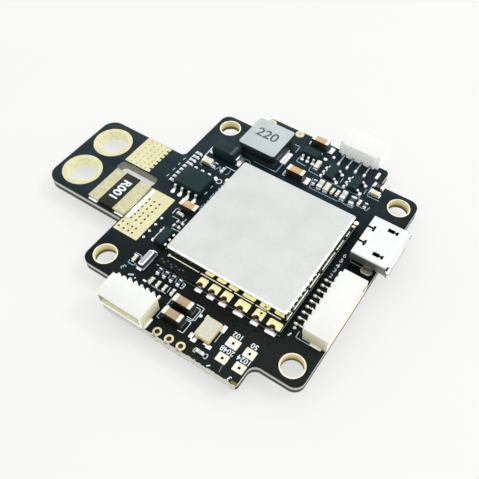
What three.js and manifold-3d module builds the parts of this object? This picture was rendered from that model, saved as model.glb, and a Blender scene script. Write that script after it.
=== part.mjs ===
// Flight controller board for a small racing drone, with a built-in video transmitter module.
// Units are millimetres. The origin is at the centre of the 30.5 mm mounting pattern, on the
// underside of the board. +Z points up through the component side, the power tab points along -X,
// the USB socket faces +X and the four-way connector faces +Y.

import * as THREE from "three";
import * as BufferGeometryUtils from "three/addons/utils/BufferGeometryUtils.js";
import Module from "manifold-3d";

const wasm = await Module();
wasm.setup();

// ---------------------------------------------------------------- driving dimensions

const HOLE_PITCH = 30.5;            // mounting pattern, centre to centre
const MOUNT_HOLE_R = 1.57;
const MOUNT_RING_R = [1.6, 1.76];   // plated ring around each mounting hole, on both sides
const BOARD_T = 1.6;
const SOLDER_GAP = 0.04;            // solder film under every part
const TOP = BOARD_T + SOLDER_GAP;   // seat of the component-side parts
const UNDER = -SOLDER_GAP;          // seat of the underside parts
const UNDER_H = 1.6;                // the tall underside parts end in one plane

const HALF = 17.7;                  // half width of the square that carries the holes
const MID_HALF = 10.9;              // half width of the two middle bulges
const MID_FRONT = -21.4;
const MID_REAR = 21.15;
const CORNER_R = 1.5;
const MID_CORNER_R = 0.7;
const INNER_R = 1.2;

const TAB = { x: -32.7, yLow: -9.2, yHigh: 6.05, r: 2.1, rootR: 0.8 };
const POWER_HOLE = { x: -28.9, ys: [1.95, -5.15], r: 2.35, ringR: [2.4, 3.1] };
const PLATING = 0.05;               // height of a plated ring above the board
const SLOT = { x0: -24.9, x1: -17.85, y0: -2.1, y1: -0.15, r: 0.7 };
const SIGNAL_HOLE = { xs: [-1.63, 0.27, 2.12], y: -20.75, r: 0.36 };

const MODULE = { x0: -8.1, x1: 11.8, y0: -12.65, y1: 8.65, t: 1.0, edgeHoleR: 0.45 };
const MODULE_EDGE_XS = [-0.87, 1.1, 3.05, 5.58, 8.07, 10.53];
const SHIELD = { x0: -7.55, x1: 11.55, y0: -11.05, y1: 8.05, h: 1.8, wall: 0.25, r: 0.5 };
const MODULE_SEAT = TOP + MODULE.t + SOLDER_GAP;

const INDUCTOR = { x: -7.65, y: 14.45, size: 6.5, r: 0.7, h: 2.8, flange: 0.7, postR: 1.5, wireR: 2.6 };
const SHUNT = { x: -20.9, y: -5.5, lx: 6.8, ly: 6.5, h: 0.62, bodyX: 2.7 };
const DIODE = { x: -11.95, y: 9.6, lx: 4.2, ly: 2.4, h: 2.0, footX: 2.1, footL: 0.9, footW: 1.4, footH: 1.0 };
const CERAMIC = { l: 2.9, w: 1.2, h: 1.4, endL: 0.55, grow: 0.03 };
const CERAMIC_CENTRES = [[-0.97, -15.97], [-0.97, -18.2], [-0.85, 12.15], [-0.85, 20.0], [-10.2, -2.55]];
const MAIN_CRYSTAL = { x: 3.85, y: -17.15, lx: 2.5, ly: 3.2, h: 0.75, lid: 0.15, lidInset: 0.2 };
const WATCH_CRYSTAL = { x: -9.7, y: -12.95, lx: 1.4, ly: 3.2, h: 0.85, lid: 0.45, lidLx: 0.85, lidLy: 2.8 };

const PIN_HEADER = { depth: 3.9, h: 2.6, rearWall: 0.9, lip: 0.42, side: 0.35, bladeZ: 1.15, bladeW: 0.26 };
const LEFT_HEADER = { x: -7.1, y: -17.65, pins: 6, pitch: 1.0, width: 7.4, slotH: PIN_HEADER.h, foot: 1.25 };
const RIGHT_HEADER = { x: 13.95, y: -6.0, pins: 9, pitch: 1.0, width: 10.8, slotH: PIN_HEADER.h, foot: 1.75 };
const REAR_HEADER = { x: 5.7, y: 20.05, pins: 4, pitch: 1.5, width: 6.9, slotH: 0.5, foot: 2.3 };

const USB = { x0: 13.55, x1: 18.85, y: 6.25, w: 7.65, h: 2.5, wall: 0.25, lugX: 16.4, lugW: 1.1 };
const USB_LUG_SLOT = { spare: 0.15, w: 0.64, r: 0.3 };

const PROCESSOR = { x: -7.6, y: 1.0, size: 10, comb: 7.75, reach: 1.0 };
const OSD_CHIP = { x: 6.5, y: -8.6, lx: 9.7, ly: 4.4, h: 1.1, comb: 8.7, reach: 1.0 };
const FLASH_MEMORY = { x: 10.6, y: -1.2 };
const MOTION_SENSOR = { x: 3.2, y: 1.4, lx: 3.0, ly: 2.5, h: 0.9 };
const PRESSURE_SENSOR = { x: 3.6, y: 8.4, lx: 2.5, ly: 2.0, h: 0.95 };
const TANTALUM = { lx: 3.2, ly: 1.6, centres: [[11.0, 12.4], [-2.2, -13.8]] };

// ---------------------------------------------------------------- helpers

const model = new THREE.Group();

function material(color, roughness, metalness) {
  return new THREE.MeshStandardMaterial({ color, roughness, metalness });
}

const LOOK = {
  mask: () => material(0x12161b, 0.35, 0.0),
  epoxy: () => material(0x20262a, 0.6, 0.0),
  nylon: () => material(0xf1eee2, 0.5, 0.0),
  steel: () => material(0xd6d8d8, 0.25, 0.9),
  tin: () => material(0xdedfdd, 0.3, 0.9),
  gold: () => material(0xe6d27c, 0.3, 0.9),
  ferrite: () => material(0xb4c0c2, 0.6, 0.0),
  copper: () => material(0xb87333, 0.35, 0.9),
  ceramic: () => material(0xb48a5a, 0.5, 0.0),
};

function add(name, geometry, look, parent = model) {
  const mesh = new THREE.Mesh(geometry, look());
  mesh.name = name;
  parent.add(mesh);
  return mesh;
}

// A box from its corner with the lowest coordinates to the one with the highest.
function block(x0, y0, z0, x1, y1, z1) {
  const geometry = new THREE.BoxGeometry(x1 - x0, y1 - y0, z1 - z0);
  return geometry.translate((x0 + x1) / 2, (y0 + y1) / 2, (z0 + z1) / 2);
}

// A box that stands at height z and is centred on x, y.
function standing(x, y, z, lx, ly, h) {
  return block(x - lx / 2, y - ly / 2, z, x + lx / 2, y + ly / 2, z + h);
}

function toSolid(geometry) {
  const bare = geometry.clone();
  for (const name of Object.keys(bare.attributes)) {
    if (name !== "position") bare.deleteAttribute(name);
  }
  const merged = BufferGeometryUtils.mergeVertices(bare, 1e-5);
  return new wasm.Manifold(new wasm.Mesh({
    numProp: 3,
    vertProperties: new Float32Array(merged.attributes.position.array),
    triVerts: new Uint32Array(merged.index.array),
  }));
}

function toGeometry(solid) {
  const mesh = solid.getMesh();
  const geometry = new THREE.BufferGeometry();
  geometry.setAttribute("position", new THREE.BufferAttribute(new Float32Array(mesh.vertProperties), 3));
  geometry.setIndex(new THREE.BufferAttribute(new Uint32Array(mesh.triVerts), 1));
  geometry.computeVertexNormals();
  return geometry;
}

function join(...geometries) {
  return toGeometry(geometries.map(toSolid).reduce((sum, next) => sum.add(next)));
}

function cut(geometry, ...tools) {
  return toGeometry(tools.map(toSolid).reduce((rest, tool) => rest.subtract(tool), toSolid(geometry)));
}

// A closed outline whose corners are rounded; each corner is [x, y, radius].
function roundedShape(corners, Kind = THREE.Shape) {
  const shape = new Kind();
  const count = corners.length;
  corners.forEach(([x, y, r], i) => {
    const here = new THREE.Vector2(x, y);
    const before = new THREE.Vector2(...corners[(i + count - 1) % count]).sub(here).normalize();
    const after = new THREE.Vector2(...corners[(i + 1) % count]).sub(here).normalize();
    const start = here.clone().addScaledVector(before, r);
    const end = here.clone().addScaledVector(after, r);
    if (i === 0) shape.moveTo(start.x, start.y);
    else shape.lineTo(start.x, start.y);
    if (r > 0) shape.quadraticCurveTo(x, y, end.x, end.y);
  });
  shape.closePath();
  return shape;
}

function roundedRect(x0, y0, x1, y1, r, Kind = THREE.Shape) {
  return roundedShape([[x0, y0, r], [x1, y0, r], [x1, y1, r], [x0, y1, r]], Kind);
}

function circlePath(x, y, r) {
  return new THREE.Path().absarc(x, y, r, 0, Math.PI * 2, true);
}

function extrude(shape, z0, z1, curveSegments = 5) {
  const options = { depth: z1 - z0, bevelEnabled: false, curveSegments };
  return new THREE.ExtrudeGeometry(shape, options).translate(0, 0, z0);
}

// A flat profile drawn in the Y-Z plane and given a width along X, centred on x.
function strip(points, x, width) {
  const shape = new THREE.Shape(points.map(([y, z]) => new THREE.Vector2(y, z)));
  const geometry = new THREE.ExtrudeGeometry(shape, { depth: width, bevelEnabled: false });
  geometry.rotateY(Math.PI / 2).rotateX(Math.PI / 2);
  return geometry.translate(x - width / 2, 0, 0);
}

// ---------------------------------------------------------------- main board

function platedRing(x, y, [inner, outer], z0, z1) {
  const shape = new THREE.Shape().absarc(x, y, outer, 0, Math.PI * 2, false);
  shape.holes.push(circlePath(x, y, inner));
  return extrude(shape, z0, z1, 12);
}

function mainBoard() {
  const outline = roundedShape([
    [-HALF, TAB.yLow, 0.15], [-HALF, -HALF, CORNER_R],
    [-MID_HALF, -HALF, INNER_R], [-MID_HALF, MID_FRONT, MID_CORNER_R],
    [MID_HALF, MID_FRONT, MID_CORNER_R], [MID_HALF, -HALF, INNER_R],
    [HALF, -HALF, CORNER_R], [HALF, HALF, CORNER_R],
    [MID_HALF, HALF, INNER_R], [MID_HALF, MID_REAR, MID_CORNER_R],
    [-MID_HALF, MID_REAR, MID_CORNER_R], [-MID_HALF, HALF, INNER_R],
    [-HALF, HALF, CORNER_R], [-HALF, TAB.yHigh, TAB.rootR],
    [TAB.x, TAB.yHigh, TAB.r], [TAB.x, TAB.yLow, TAB.r],
  ]);
  for (const sx of [-1, 1]) {
    for (const sy of [-1, 1]) {
      outline.holes.push(circlePath(sx * HOLE_PITCH / 2, sy * HOLE_PITCH / 2, MOUNT_HOLE_R));
    }
  }
  for (const y of POWER_HOLE.ys) outline.holes.push(circlePath(POWER_HOLE.x, y, POWER_HOLE.r));
  for (const x of SIGNAL_HOLE.xs) outline.holes.push(circlePath(x, SIGNAL_HOLE.y, SIGNAL_HOLE.r));
  for (const side of [-1, 1]) {
    const y = USB.y + side * (USB.w - USB.wall) / 2;
    const halfX = USB.lugW / 2 + USB_LUG_SLOT.spare;
    const halfY = USB_LUG_SLOT.w / 2;
    const [x0, x1] = [USB.lugX - halfX, USB.lugX + halfX];
    outline.holes.push(roundedRect(x0, y - halfY, x1, y + halfY, USB_LUG_SLOT.r, THREE.Path));
  }
  outline.holes.push(roundedRect(SLOT.x0, SLOT.y0, SLOT.x1, SLOT.y1, SLOT.r, THREE.Path));
  const rings = [-1, 1].flatMap((sx) => [-1, 1].map((sy) => {
    const half = HOLE_PITCH / 2;
    return platedRing(sx * half, sy * half, MOUNT_RING_R, -PLATING, BOARD_T + PLATING);
  }));
  const powerRings = POWER_HOLE.ys.map((y) => {
    return platedRing(POWER_HOLE.x, y, POWER_HOLE.ringR, -PLATING, BOARD_T + PLATING);
  });
  add("main_board", join(extrude(outline, 0, BOARD_T, 7), ...rings, ...powerRings), LOOK.mask);
}

// ---------------------------------------------------------------- video transmitter module

function moduleBoard() {
  const edge = new THREE.Shape();
  edge.moveTo(MODULE.x0, MODULE.y0);
  for (const x of MODULE_EDGE_XS) {
    edge.lineTo(x - MODULE.edgeHoleR, MODULE.y0);
    edge.absarc(x, MODULE.y0, MODULE.edgeHoleR, Math.PI, 0, true);
  }
  edge.lineTo(MODULE.x1, MODULE.y0);
  edge.lineTo(MODULE.x1, MODULE.y1);
  edge.lineTo(MODULE.x0, MODULE.y1);
  edge.closePath();
  add("vtx_module_board", extrude(edge, TOP, TOP + MODULE.t, 5), LOOK.mask);
}

function shieldCan() {
  const { x0, x1, y0, y1, h, wall, r } = SHIELD;
  const outer = extrude(roundedRect(x0, y0, x1, y1, r), MODULE_SEAT, MODULE_SEAT + h);
  const inner = block(x0 + wall, y0 + wall, MODULE_SEAT - 1, x1 - wall, y1 - wall, MODULE_SEAT + h - wall);
  add("vtx_shield_can", cut(outer, inner), LOOK.steel);
}

function moduleParts() {
  const rfChip = { x: 0.5, y: -2.5, size: 5, h: 0.85 };
  const amplifier = { x: 6.5, y: -6.5, size: 3, h: 0.85 };
  for (const [name, { x, y, size, h }] of [["vtx_rf_chip", rfChip], ["vtx_power_amplifier", amplifier]]) {
    add(name, standing(x, y, MODULE_SEAT, size, size, h), LOOK.epoxy);
  }
  const crystal = { x: -3.5, y: 3.5, lx: 3.2, ly: 2.5, h: 0.75 };
  const geometry = standing(crystal.x, crystal.y, MODULE_SEAT, crystal.lx, crystal.ly, crystal.h);
  add("vtx_reference_crystal", geometry, LOOK.steel);
}

// ---------------------------------------------------------------- power parts

function inductor() {
  const { x, y, size, r, h, flange, postR, wireR } = INDUCTOR;
  const half = size / 2;
  const plate = (z0, z1) => extrude(roundedRect(x - half, y - half, x + half, y + half, r), z0, z1);
  const post = new THREE.CylinderGeometry(postR, postR, h - 0.2, 24).rotateX(Math.PI / 2);
  post.translate(x, y, TOP + h / 2);
  add("inductor_core", join(plate(TOP, TOP + flange), post, plate(TOP + h - flange, TOP + h)), LOOK.ferrite);

  const low = TOP + flange + 0.03;
  const high = TOP + h - flange - 0.03;
  const ring = (outer, inner) => {
    outer.holes.push(circlePath(x, y, inner));
    return extrude(outer, low, high, 8);
  };
  const coilOutline = new THREE.Shape().absarc(x, y, wireR, 0, Math.PI * 2, false);
  add("inductor_winding", ring(coilOutline, postR + 0.05), LOOK.copper);
  const inset = half - 0.3;
  const resinOutline = roundedRect(x - inset, y - inset, x + inset, y + inset, 1.6);
  add("inductor_resin", ring(resinOutline, wireR + 0.05), LOOK.epoxy);
}

function shuntResistor() {
  const { x, y, lx, ly, h, bodyX } = SHUNT;
  const plate = standing(x, y, TOP, lx, ly, h - 0.1);
  const coat = standing(x - 0.05, y, TOP + 0.1, bodyX, ly + 0.02, h - 0.1);
  add("shunt_resistor", join(plate, coat), LOOK.tin);
}

function schottkyDiode() {
  const { x, y, lx, ly, h, footX, footL, footW, footH } = DIODE;
  const body = standing(x, y, TOP + 0.12, lx, ly, h);
  const ends = [-1, 1].map((side) => standing(x + side * footX, y, TOP, footL, footW, footH));
  add("schottky_diode", join(body, ...ends), LOOK.epoxy);
}

function ceramicCapacitors() {
  const { l, w, h, endL, grow } = CERAMIC;
  CERAMIC_CENTRES.forEach(([x, y], i) => {
    const body = standing(x, y, TOP + grow, l - 0.1, w - 2 * grow, h - 2 * grow);
    const ends = [-1, 1].map((side) => standing(x + side * (l - endL) / 2, y, TOP, endL, w, h));
    add(`bulk_capacitor_${i + 1}`, join(body, ...ends), LOOK.ceramic);
  });
}

// ---------------------------------------------------------------- chips

// A moulded chip with bent leads on its two long sides. Leads stand along X, and each row is a
// list of X offsets. The chip is built around the origin, standing on z = 0.
function leadedChip({ lx, ly, h, foot, leadW, front, rear }) {
  const t = 0.15;
  const shoulder = h * 0.45;
  const edge = ly / 2;
  const profile = (side) => [
    [edge - 0.2, shoulder], [edge + foot * 0.3, shoulder], [edge + foot * 0.5, 0],
    [edge + foot, 0], [edge + foot, t], [edge + foot * 0.5 + t, t],
    [edge + foot * 0.3 + t, shoulder + t], [edge - 0.2, shoulder + t],
  ].map(([y, z]) => [side * y, z]);
  const leads = [
    ...front.map((x) => strip(profile(-1).reverse(), x, leadW)),
    ...rear.map((x) => strip(profile(1), x, leadW)),
  ];
  return join(block(-lx / 2, -edge, 0.1, lx / 2, edge, h), ...leads);
}

function row(count, pitch) {
  return Array.from({ length: count }, (_, i) => (i - (count - 1) / 2) * pitch);
}

const SOIC8 = { lx: 4.9, ly: 3.9, h: 1.5, foot: 1.0, leadW: 0.4, front: row(4, 1.27), rear: row(4, 1.27) };
const SOT_PITCH = 0.95;
const SOT23_5 = {
  lx: 2.9, ly: 1.6, h: 1.1, foot: 0.6, leadW: 0.4,
  front: row(2, 2 * SOT_PITCH), rear: row(3, SOT_PITCH),
};
const SOT23_6 = { ...SOT23_5, front: row(3, SOT_PITCH) };

function place(name, geometry, look, x, y, z, turn = 0, flip = false) {
  const mesh = add(name, geometry, look);
  mesh.position.set(x, y, z);
  mesh.rotation.set(flip ? Math.PI : 0, 0, turn);
}

function topChips() {
  const quarter = Math.PI / 2;
  place("buck_converter_chip", leadedChip(SOIC8), LOOK.epoxy, -12.7, 1.95, TOP);
  place("rf_supply_regulator", leadedChip(SOT23_6), LOOK.epoxy, -0.95, 17.15, TOP);
  [3.7, 7.75].forEach((x, i) => {
    place(`signal_inverter_${i + 1}`, leadedChip(SOT23_5), LOOK.epoxy, x, 15.4, TOP, quarter);
  });
  place("low_noise_regulator", leadedChip(SOT23_5), LOOK.epoxy, -9.95, -8.7, TOP, -quarter);
}

function crystals() {
  const main = MAIN_CRYSTAL;
  const base = standing(main.x, main.y, TOP, main.lx, main.ly, main.h - main.lid);
  const inset = 2 * main.lidInset;
  const lid = standing(main.x, main.y, TOP + 0.5, main.lx - inset, main.ly - inset, main.h - 0.5);
  add("main_crystal", join(base, lid), LOOK.gold);

  const watch = WATCH_CRYSTAL;
  const tray = standing(watch.x, watch.y, TOP, watch.lx, watch.ly, watch.h - watch.lid);
  const can = standing(watch.x, watch.y, TOP + 0.3, watch.lidLx, watch.lidLy, watch.h - 0.3);
  add("watch_crystal", join(tray, can), LOOK.steel);
}

// ---------------------------------------------------------------- pin headers

// A shrouded side-entry header. In its own frame the rear wall is at y = 0 and the mouth at
// y = depth, and the contacts stand in a row along X. The rear wall has a slot of height slotH for
// each contact and a step at each end. Each contact rises inside the wall, and its foot reaches out
// behind the wall by the length foot.
function header(prefix, { x, y, pins, pitch, width, slotH, foot }, turn) {
  const { depth, h, rearWall, lip, side, bladeZ, bladeW } = PIN_HEADER;
  const half = width / 2;
  const beyond = 1;
  const slot = { w: 0.5, depth: 0.3 };
  const step = { w: 0.6, depth: 0.35 };
  const group = new THREE.Group();
  group.position.set(x, y, TOP);
  group.rotation.z = turn;
  model.add(group);

  const outer = block(-half, 0, 0, half, depth, h);
  const cavity = block(-half + side, rearWall, lip, half - side, depth + beyond, h - lip);
  const steps = [-half, half - step.w].map((x0) => {
    return block(x0 - 0.01, -beyond, -beyond, x0 + step.w + 0.01, step.depth, h + beyond);
  });
  const slotTop = slotH < h ? slotH : h + beyond;
  const slots = row(pins, pitch).flatMap((cx) => [
    block(cx - slot.w / 2, -beyond, -beyond, cx + slot.w / 2, slot.depth, slotTop),
    block(cx - slot.w / 2, slot.depth - 0.01, -beyond, cx + slot.w / 2, rearWall + 0.1, bladeZ + 0.5),
  ]);
  add(`${prefix}_housing`, cut(outer, cavity, ...steps, ...slots), LOOK.nylon, group);

  const thick = 0.2;
  const riser = [slot.depth + 0.05, slot.depth + 0.3];
  const tip = depth - 0.9;
  const blade = [
    [-foot, 0], [riser[1], 0], [riser[1], bladeZ], [tip, bladeZ],
    [tip, bladeZ + 0.25], [riser[0], bladeZ + 0.25], [riser[0], thick], [-foot, thick],
  ];
  row(pins, pitch).forEach((cx, i) => {
    add(`${prefix}_contact_${i + 1}`, strip(blade, cx, bladeW), LOOK.tin, group);
  });
}

// ---------------------------------------------------------------- micro USB socket

// The shell's section: square at the top and narrower at the board.
function usbSection(grow) {
  const half = USB.w / 2 + grow;
  const [low, high] = [-grow, USB.h + grow];
  const taper = 0.9;
  return [[-half + taper, low, 0.2], [half - taper, low, 0.2], [half, low + taper, 0.2], [half, high, 0.35],
    [-half, high, 0.35], [-half, low + taper, 0.2]];
}

// Extrudes a Y-Z outline along X, from x0 to x1.
function alongX(corners, x0, x1) {
  const geometry = new THREE.ExtrudeGeometry(roundedShape(corners), {
    depth: x1 - x0, bevelEnabled: false, curveSegments: 3,
  });
  geometry.rotateY(Math.PI / 2).rotateX(Math.PI / 2);
  return geometry.translate(x0, USB.y, TOP);
}

// The shell is a tube with two latch windows, two T-shaped notches at its rear edge and an exit for the
// contacts. The insulator carries the tongue, and one slot under it holds each contact.
function usbSocket() {
  const { x0, x1, y, w, h, wall, lugX, lugW } = USB;
  const roof = TOP + h;
  const beyond = 1;
  const shellOuter = alongX(usbSection(0), x0, x1);
  const shellInner = alongX(usbSection(-wall), x0 - beyond, x1 + beyond);
  const latches = [-1, 1].flatMap((side) => [
    standing(16.7, y + side * 2.4, roof - beyond, 1.0, 0.65, 2 * beyond),
    standing(17.35, y + side * 2.4, roof - beyond, 0.4, 0.3, 2 * beyond),
    standing(17.6, y + side * 2.4, roof - beyond, 0.35, 0.65, 2 * beyond),
  ]);
  const rearCuts = [-1, 1].flatMap((side) => {
    const centre = y + side * 1.45;
    return [
      standing(x0, centre, roof - beyond, 2.0, 0.36, 2 * beyond),
      standing(x0 + 0.93, centre, roof - beyond, 0.36, 1.05, 2 * beyond),
    ];
  });
  const contactExit = block(x0 - beyond, y - 1.8, TOP - beyond, x0 + 2.2, y + 1.8, TOP + 0.4);
  const tube = cut(shellOuter, shellInner, contactExit, ...latches, ...rearCuts);
  const lugs = [-1, 1].map((side) => {
    const centre = y + side * (w - wall) / 2;
    return standing(lugX, centre, -0.4, lugW, wall, TOP + 1.4);
  });
  add("usb_shell", join(tube, ...lugs), LOOK.steel);

  const gap = 0.06;
  const rear = x0 + 1.9;
  const bladeTop = TOP + 1.3;
  const core = block(x0 + 0.4, y - 2.6, TOP + 0.35, rear, y + 2.6, roof - wall - gap);
  const tongue = block(rear - 0.1, y - 1.75, bladeTop, x1 - 1.2, y + 1.75, bladeTop + 0.45);
  const contactYs = row(5, 0.65).map((dy) => y + dy);
  const notches = contactYs.map((cy) => {
    return block(x0, cy - 0.2, TOP - beyond, rear + 0.2, cy + 0.2, bladeTop);
  });
  add("usb_insulator", cut(join(core, tongue), ...notches), LOOK.epoxy);
  const foot = { x: x0 - 0.3, h: 0.18 };
  const riser = [x0 + 0.55, x0 + 0.75];
  const tip = x1 - 1.4;
  const path = [
    [foot.x, TOP], [riser[1], TOP], [riser[1], TOP + 1.05], [tip, TOP + 1.05],
    [tip, bladeTop - gap], [riser[0], bladeTop - gap], [riser[0], TOP + foot.h], [foot.x, TOP + foot.h],
  ];
  contactYs.forEach((cy, i) => {
    const contact = strip(path, 0, 0.25).rotateZ(-Math.PI / 2);
    add(`usb_contact_${i + 1}`, contact.translate(0, cy, 0), LOOK.gold);
  });
}

// ---------------------------------------------------------------- underside parts

// A square flat pack with leads on all four sides; each row of leads is one thin comb.
function flatPack(size, h, comb, reach) {
  const half = size / 2;
  const along = block(-comb / 2, -half - reach, 0, comb / 2, half + reach, 0.3);
  const across = block(-half - reach, -comb / 2, 0, half + reach, comb / 2, 0.3);
  return join(block(-half, -half, 0.1, half, half, h), along, across);
}

// A long flat pack with leads on its two long sides.
function longPack({ lx, ly, h, comb, reach }) {
  const body = block(-lx / 2, -ly / 2, 0.1, lx / 2, ly / 2, h);
  return join(body, block(-comb / 2, -ly / 2 - reach, 0, comb / 2, ly / 2 + reach, 0.3));
}

function undersideParts() {
  const under = (name, geometry, look, x, y) => place(name, geometry, look, x, y, UNDER, 0, true);
  const chip = { ...SOIC8, h: UNDER_H };
  const packs = [
    ["processor", flatPack(PROCESSOR.size, UNDER_H, PROCESSOR.comb, PROCESSOR.reach), PROCESSOR],
    ["osd_chip", longPack(OSD_CHIP), OSD_CHIP],
    ["flash_memory", leadedChip(chip), FLASH_MEMORY],
  ];
  for (const [name, geometry, { x, y }] of packs) under(name, geometry, LOOK.epoxy, x, y);
  const sensors = [
    ["motion_sensor", MOTION_SENSOR, LOOK.epoxy],
    ["pressure_sensor", PRESSURE_SENSOR, LOOK.steel],
  ];
  for (const [name, { x, y, lx, ly, h }, look] of sensors) {
    under(name, standing(0, 0, 0, lx, ly, h), look, x, y);
  }
  TANTALUM.centres.forEach(([x, y], i) => {
    const body = standing(0, 0, 0, TANTALUM.lx, TANTALUM.ly, UNDER_H);
    under(`tantalum_capacitor_${i + 1}`, body, LOOK.ceramic, x, y);
  });
}

// ---------------------------------------------------------------- assembly

mainBoard();
moduleBoard();
shieldCan();
moduleParts();
inductor();
shuntResistor();
schottkyDiode();
ceramicCapacitors();
topChips();
crystals();
header("left_connector", LEFT_HEADER, Math.PI);
header("right_connector", RIGHT_HEADER, -Math.PI / 2);
header("rear_connector", REAR_HEADER, 0);
usbSocket();
undersideParts();

export default model;
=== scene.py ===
"""The looks of a flight controller board with a built-in video transmitter, around its CAD frame.

Shapes are made in millimetres and stored in metres. +Z is up through the component side, the power
tab points along -X, the micro USB socket faces +X and the rear header faces +Y.
"""

import math
import random

import bmesh
import bpy
from mathutils import Matrix, Vector


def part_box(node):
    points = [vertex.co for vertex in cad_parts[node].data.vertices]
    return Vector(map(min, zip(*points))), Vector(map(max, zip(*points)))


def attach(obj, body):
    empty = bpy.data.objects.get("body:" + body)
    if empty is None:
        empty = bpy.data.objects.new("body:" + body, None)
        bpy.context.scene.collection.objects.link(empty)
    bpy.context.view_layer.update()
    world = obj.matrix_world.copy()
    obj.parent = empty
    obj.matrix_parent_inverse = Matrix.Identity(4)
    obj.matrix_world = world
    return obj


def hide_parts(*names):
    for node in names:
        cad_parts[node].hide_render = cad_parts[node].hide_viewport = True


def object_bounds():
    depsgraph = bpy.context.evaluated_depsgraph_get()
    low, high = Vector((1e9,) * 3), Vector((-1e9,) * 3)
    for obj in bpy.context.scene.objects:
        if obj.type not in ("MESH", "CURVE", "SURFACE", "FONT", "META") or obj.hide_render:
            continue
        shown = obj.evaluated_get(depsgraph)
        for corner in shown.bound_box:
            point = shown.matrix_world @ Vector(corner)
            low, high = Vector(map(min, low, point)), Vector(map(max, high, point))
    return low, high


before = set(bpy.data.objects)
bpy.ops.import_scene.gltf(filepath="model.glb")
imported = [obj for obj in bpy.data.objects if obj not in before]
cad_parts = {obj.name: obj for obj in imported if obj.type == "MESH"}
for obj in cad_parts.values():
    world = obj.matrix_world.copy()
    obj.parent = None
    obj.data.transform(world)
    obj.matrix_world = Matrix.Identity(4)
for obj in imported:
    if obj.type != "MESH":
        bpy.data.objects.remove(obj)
cad_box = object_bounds()

MM = 0.001
rng = random.Random(7)


def corners(node):
    """The CAD node's lowest and highest corners in millimetres."""
    low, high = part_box(node)
    return low / MM, high / MM


def mm_box(node):
    low, high = corners(node)
    return (*low, *high)


TAB_X, MID_FRONT, BOTTOM, _, MID_REAR, CROWN = mm_box("main_board")
PLATING = 0.05                      # thickness of a plated ring on each face
TOP = CROWN - PLATING               # the mask's surface on the component side
UNDER = BOTTOM + PLATING
FILM = 0.04                         # solder film under a chip
PAD_H = 0.03                        # height of a plated pad above the mask
SILK_H = 0.015                      # height of the white ink

# ---------------- materials


class Nodes:
    """A material's node tree, with the few nodes that every surface here is made of."""

    def __init__(self, name):
        self.material = bpy.data.materials.new(name)
        self.material.use_nodes = True
        self.tree = self.material.node_tree
        self.shader = self.tree.nodes["Principled BSDF"]
        self.place = self.add("ShaderNodeTexCoord").outputs["Object"]

    def add(self, kind, **settings):
        node = self.tree.nodes.new(kind)
        for key, value in settings.items():
            setattr(node, key, value)
        return node

    def wire(self, source, target):
        self.tree.links.new(source, target)

    def vector(self, operation, factors):
        """The place on the object, combined with a constant vector."""
        node = self.add("ShaderNodeVectorMath", operation=operation)
        self.wire(self.place, node.inputs[0])
        node.inputs[1].default_value = factors
        return node.outputs

    def noise(self, size, detail=3.0, roughness=0.5, stretch=None):
        """Noise whose features are about size millimetres across."""
        node = self.add("ShaderNodeTexNoise")
        node.inputs["Scale"].default_value = 1 / (size * MM)
        node.inputs["Detail"].default_value = detail
        node.inputs["Roughness"].default_value = roughness
        self.wire(self.vector("MULTIPLY", stretch)[0] if stretch else self.place, node.inputs["Vector"])
        return node.outputs["Fac"]

    def spread(self, value, low, high, source=(0.3, 0.7)):
        """Maps value from the source range to low..high."""
        node = self.add("ShaderNodeMapRange")
        node.inputs["From Min"].default_value, node.inputs["From Max"].default_value = source
        node.inputs["To Min"].default_value, node.inputs["To Max"].default_value = low, high
        self.wire(value, node.inputs["Value"])
        return node.outputs["Result"]

    def ramp(self, value, *stops):
        node = self.add("ShaderNodeValToRGB")
        elements = node.color_ramp.elements
        while len(elements) < len(stops):
            elements.new(0.5)
        for element, (position, color) in zip(elements, stops):
            element.position = position
            element.color = (*color, 1)
        self.wire(value, node.inputs["Fac"])
        return node.outputs["Color"]

    def product(self, a, b):
        """Two colours multiplied."""
        mix = self.add("ShaderNodeMix", data_type="RGBA", blend_type="MULTIPLY")
        mix.inputs["Factor"].default_value = 1.0
        self.wire(a, mix.inputs["A"])
        self.wire(b, mix.inputs["B"])
        return mix.outputs["Result"]

    def bump(self, height, depth, onto=None):
        """Raises height by up to depth millimetres."""
        node = self.add("ShaderNodeBump")
        node.inputs["Distance"].default_value = depth * MM
        self.wire(height, node.inputs["Height"])
        if onto:
            self.wire(onto, node.inputs["Normal"])
        return node.outputs["Normal"]

    def math(self, operation, a, b):
        node = self.add("ShaderNodeMath", operation=operation)
        self.wire(a, node.inputs[0])
        self.wire(b, node.inputs[1])
        return node.outputs[0]

    def set(self, **sockets):
        """Wires or sets sockets of the shader, named with _ in place of a space."""
        for name, value in sockets.items():
            socket = self.shader.inputs[name.replace("_", " ")]
            if isinstance(value, bpy.types.NodeSocket):
                self.wire(value, socket)
            else:
                socket.default_value = value


def grained(name, low, high, rough, drift, grain, depth):
    """A surface whose colour drifts between low and high, with fine grain in its roughness and bump."""
    n = Nodes(name)
    fine = n.noise(grain, 2.0)
    n.set(Base_Color=n.ramp(n.noise(*drift), (0.3, low), (0.7, high)),
          Roughness=n.spread(fine, *rough), Normal=n.bump(fine, depth))
    return n


def surface(name, color, rough, metallic=0.0, mottle=(0.08, 1.5), grain=(0.05, 0.004), specular=0.5):
    """mottle is its amount and size, and grain its size and depth. Sizes are in millimetres."""
    low, high = ([min(1.0, channel * (1 + k * mottle[0])) for channel in color] for k in (-1, 1))
    n = grained(name, low, high, (rough * 0.85, rough * 1.15), (mottle[1], 4.0), *grain)
    n.set(Metallic=metallic, Specular_IOR_Level=specular)
    return n.material


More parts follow.
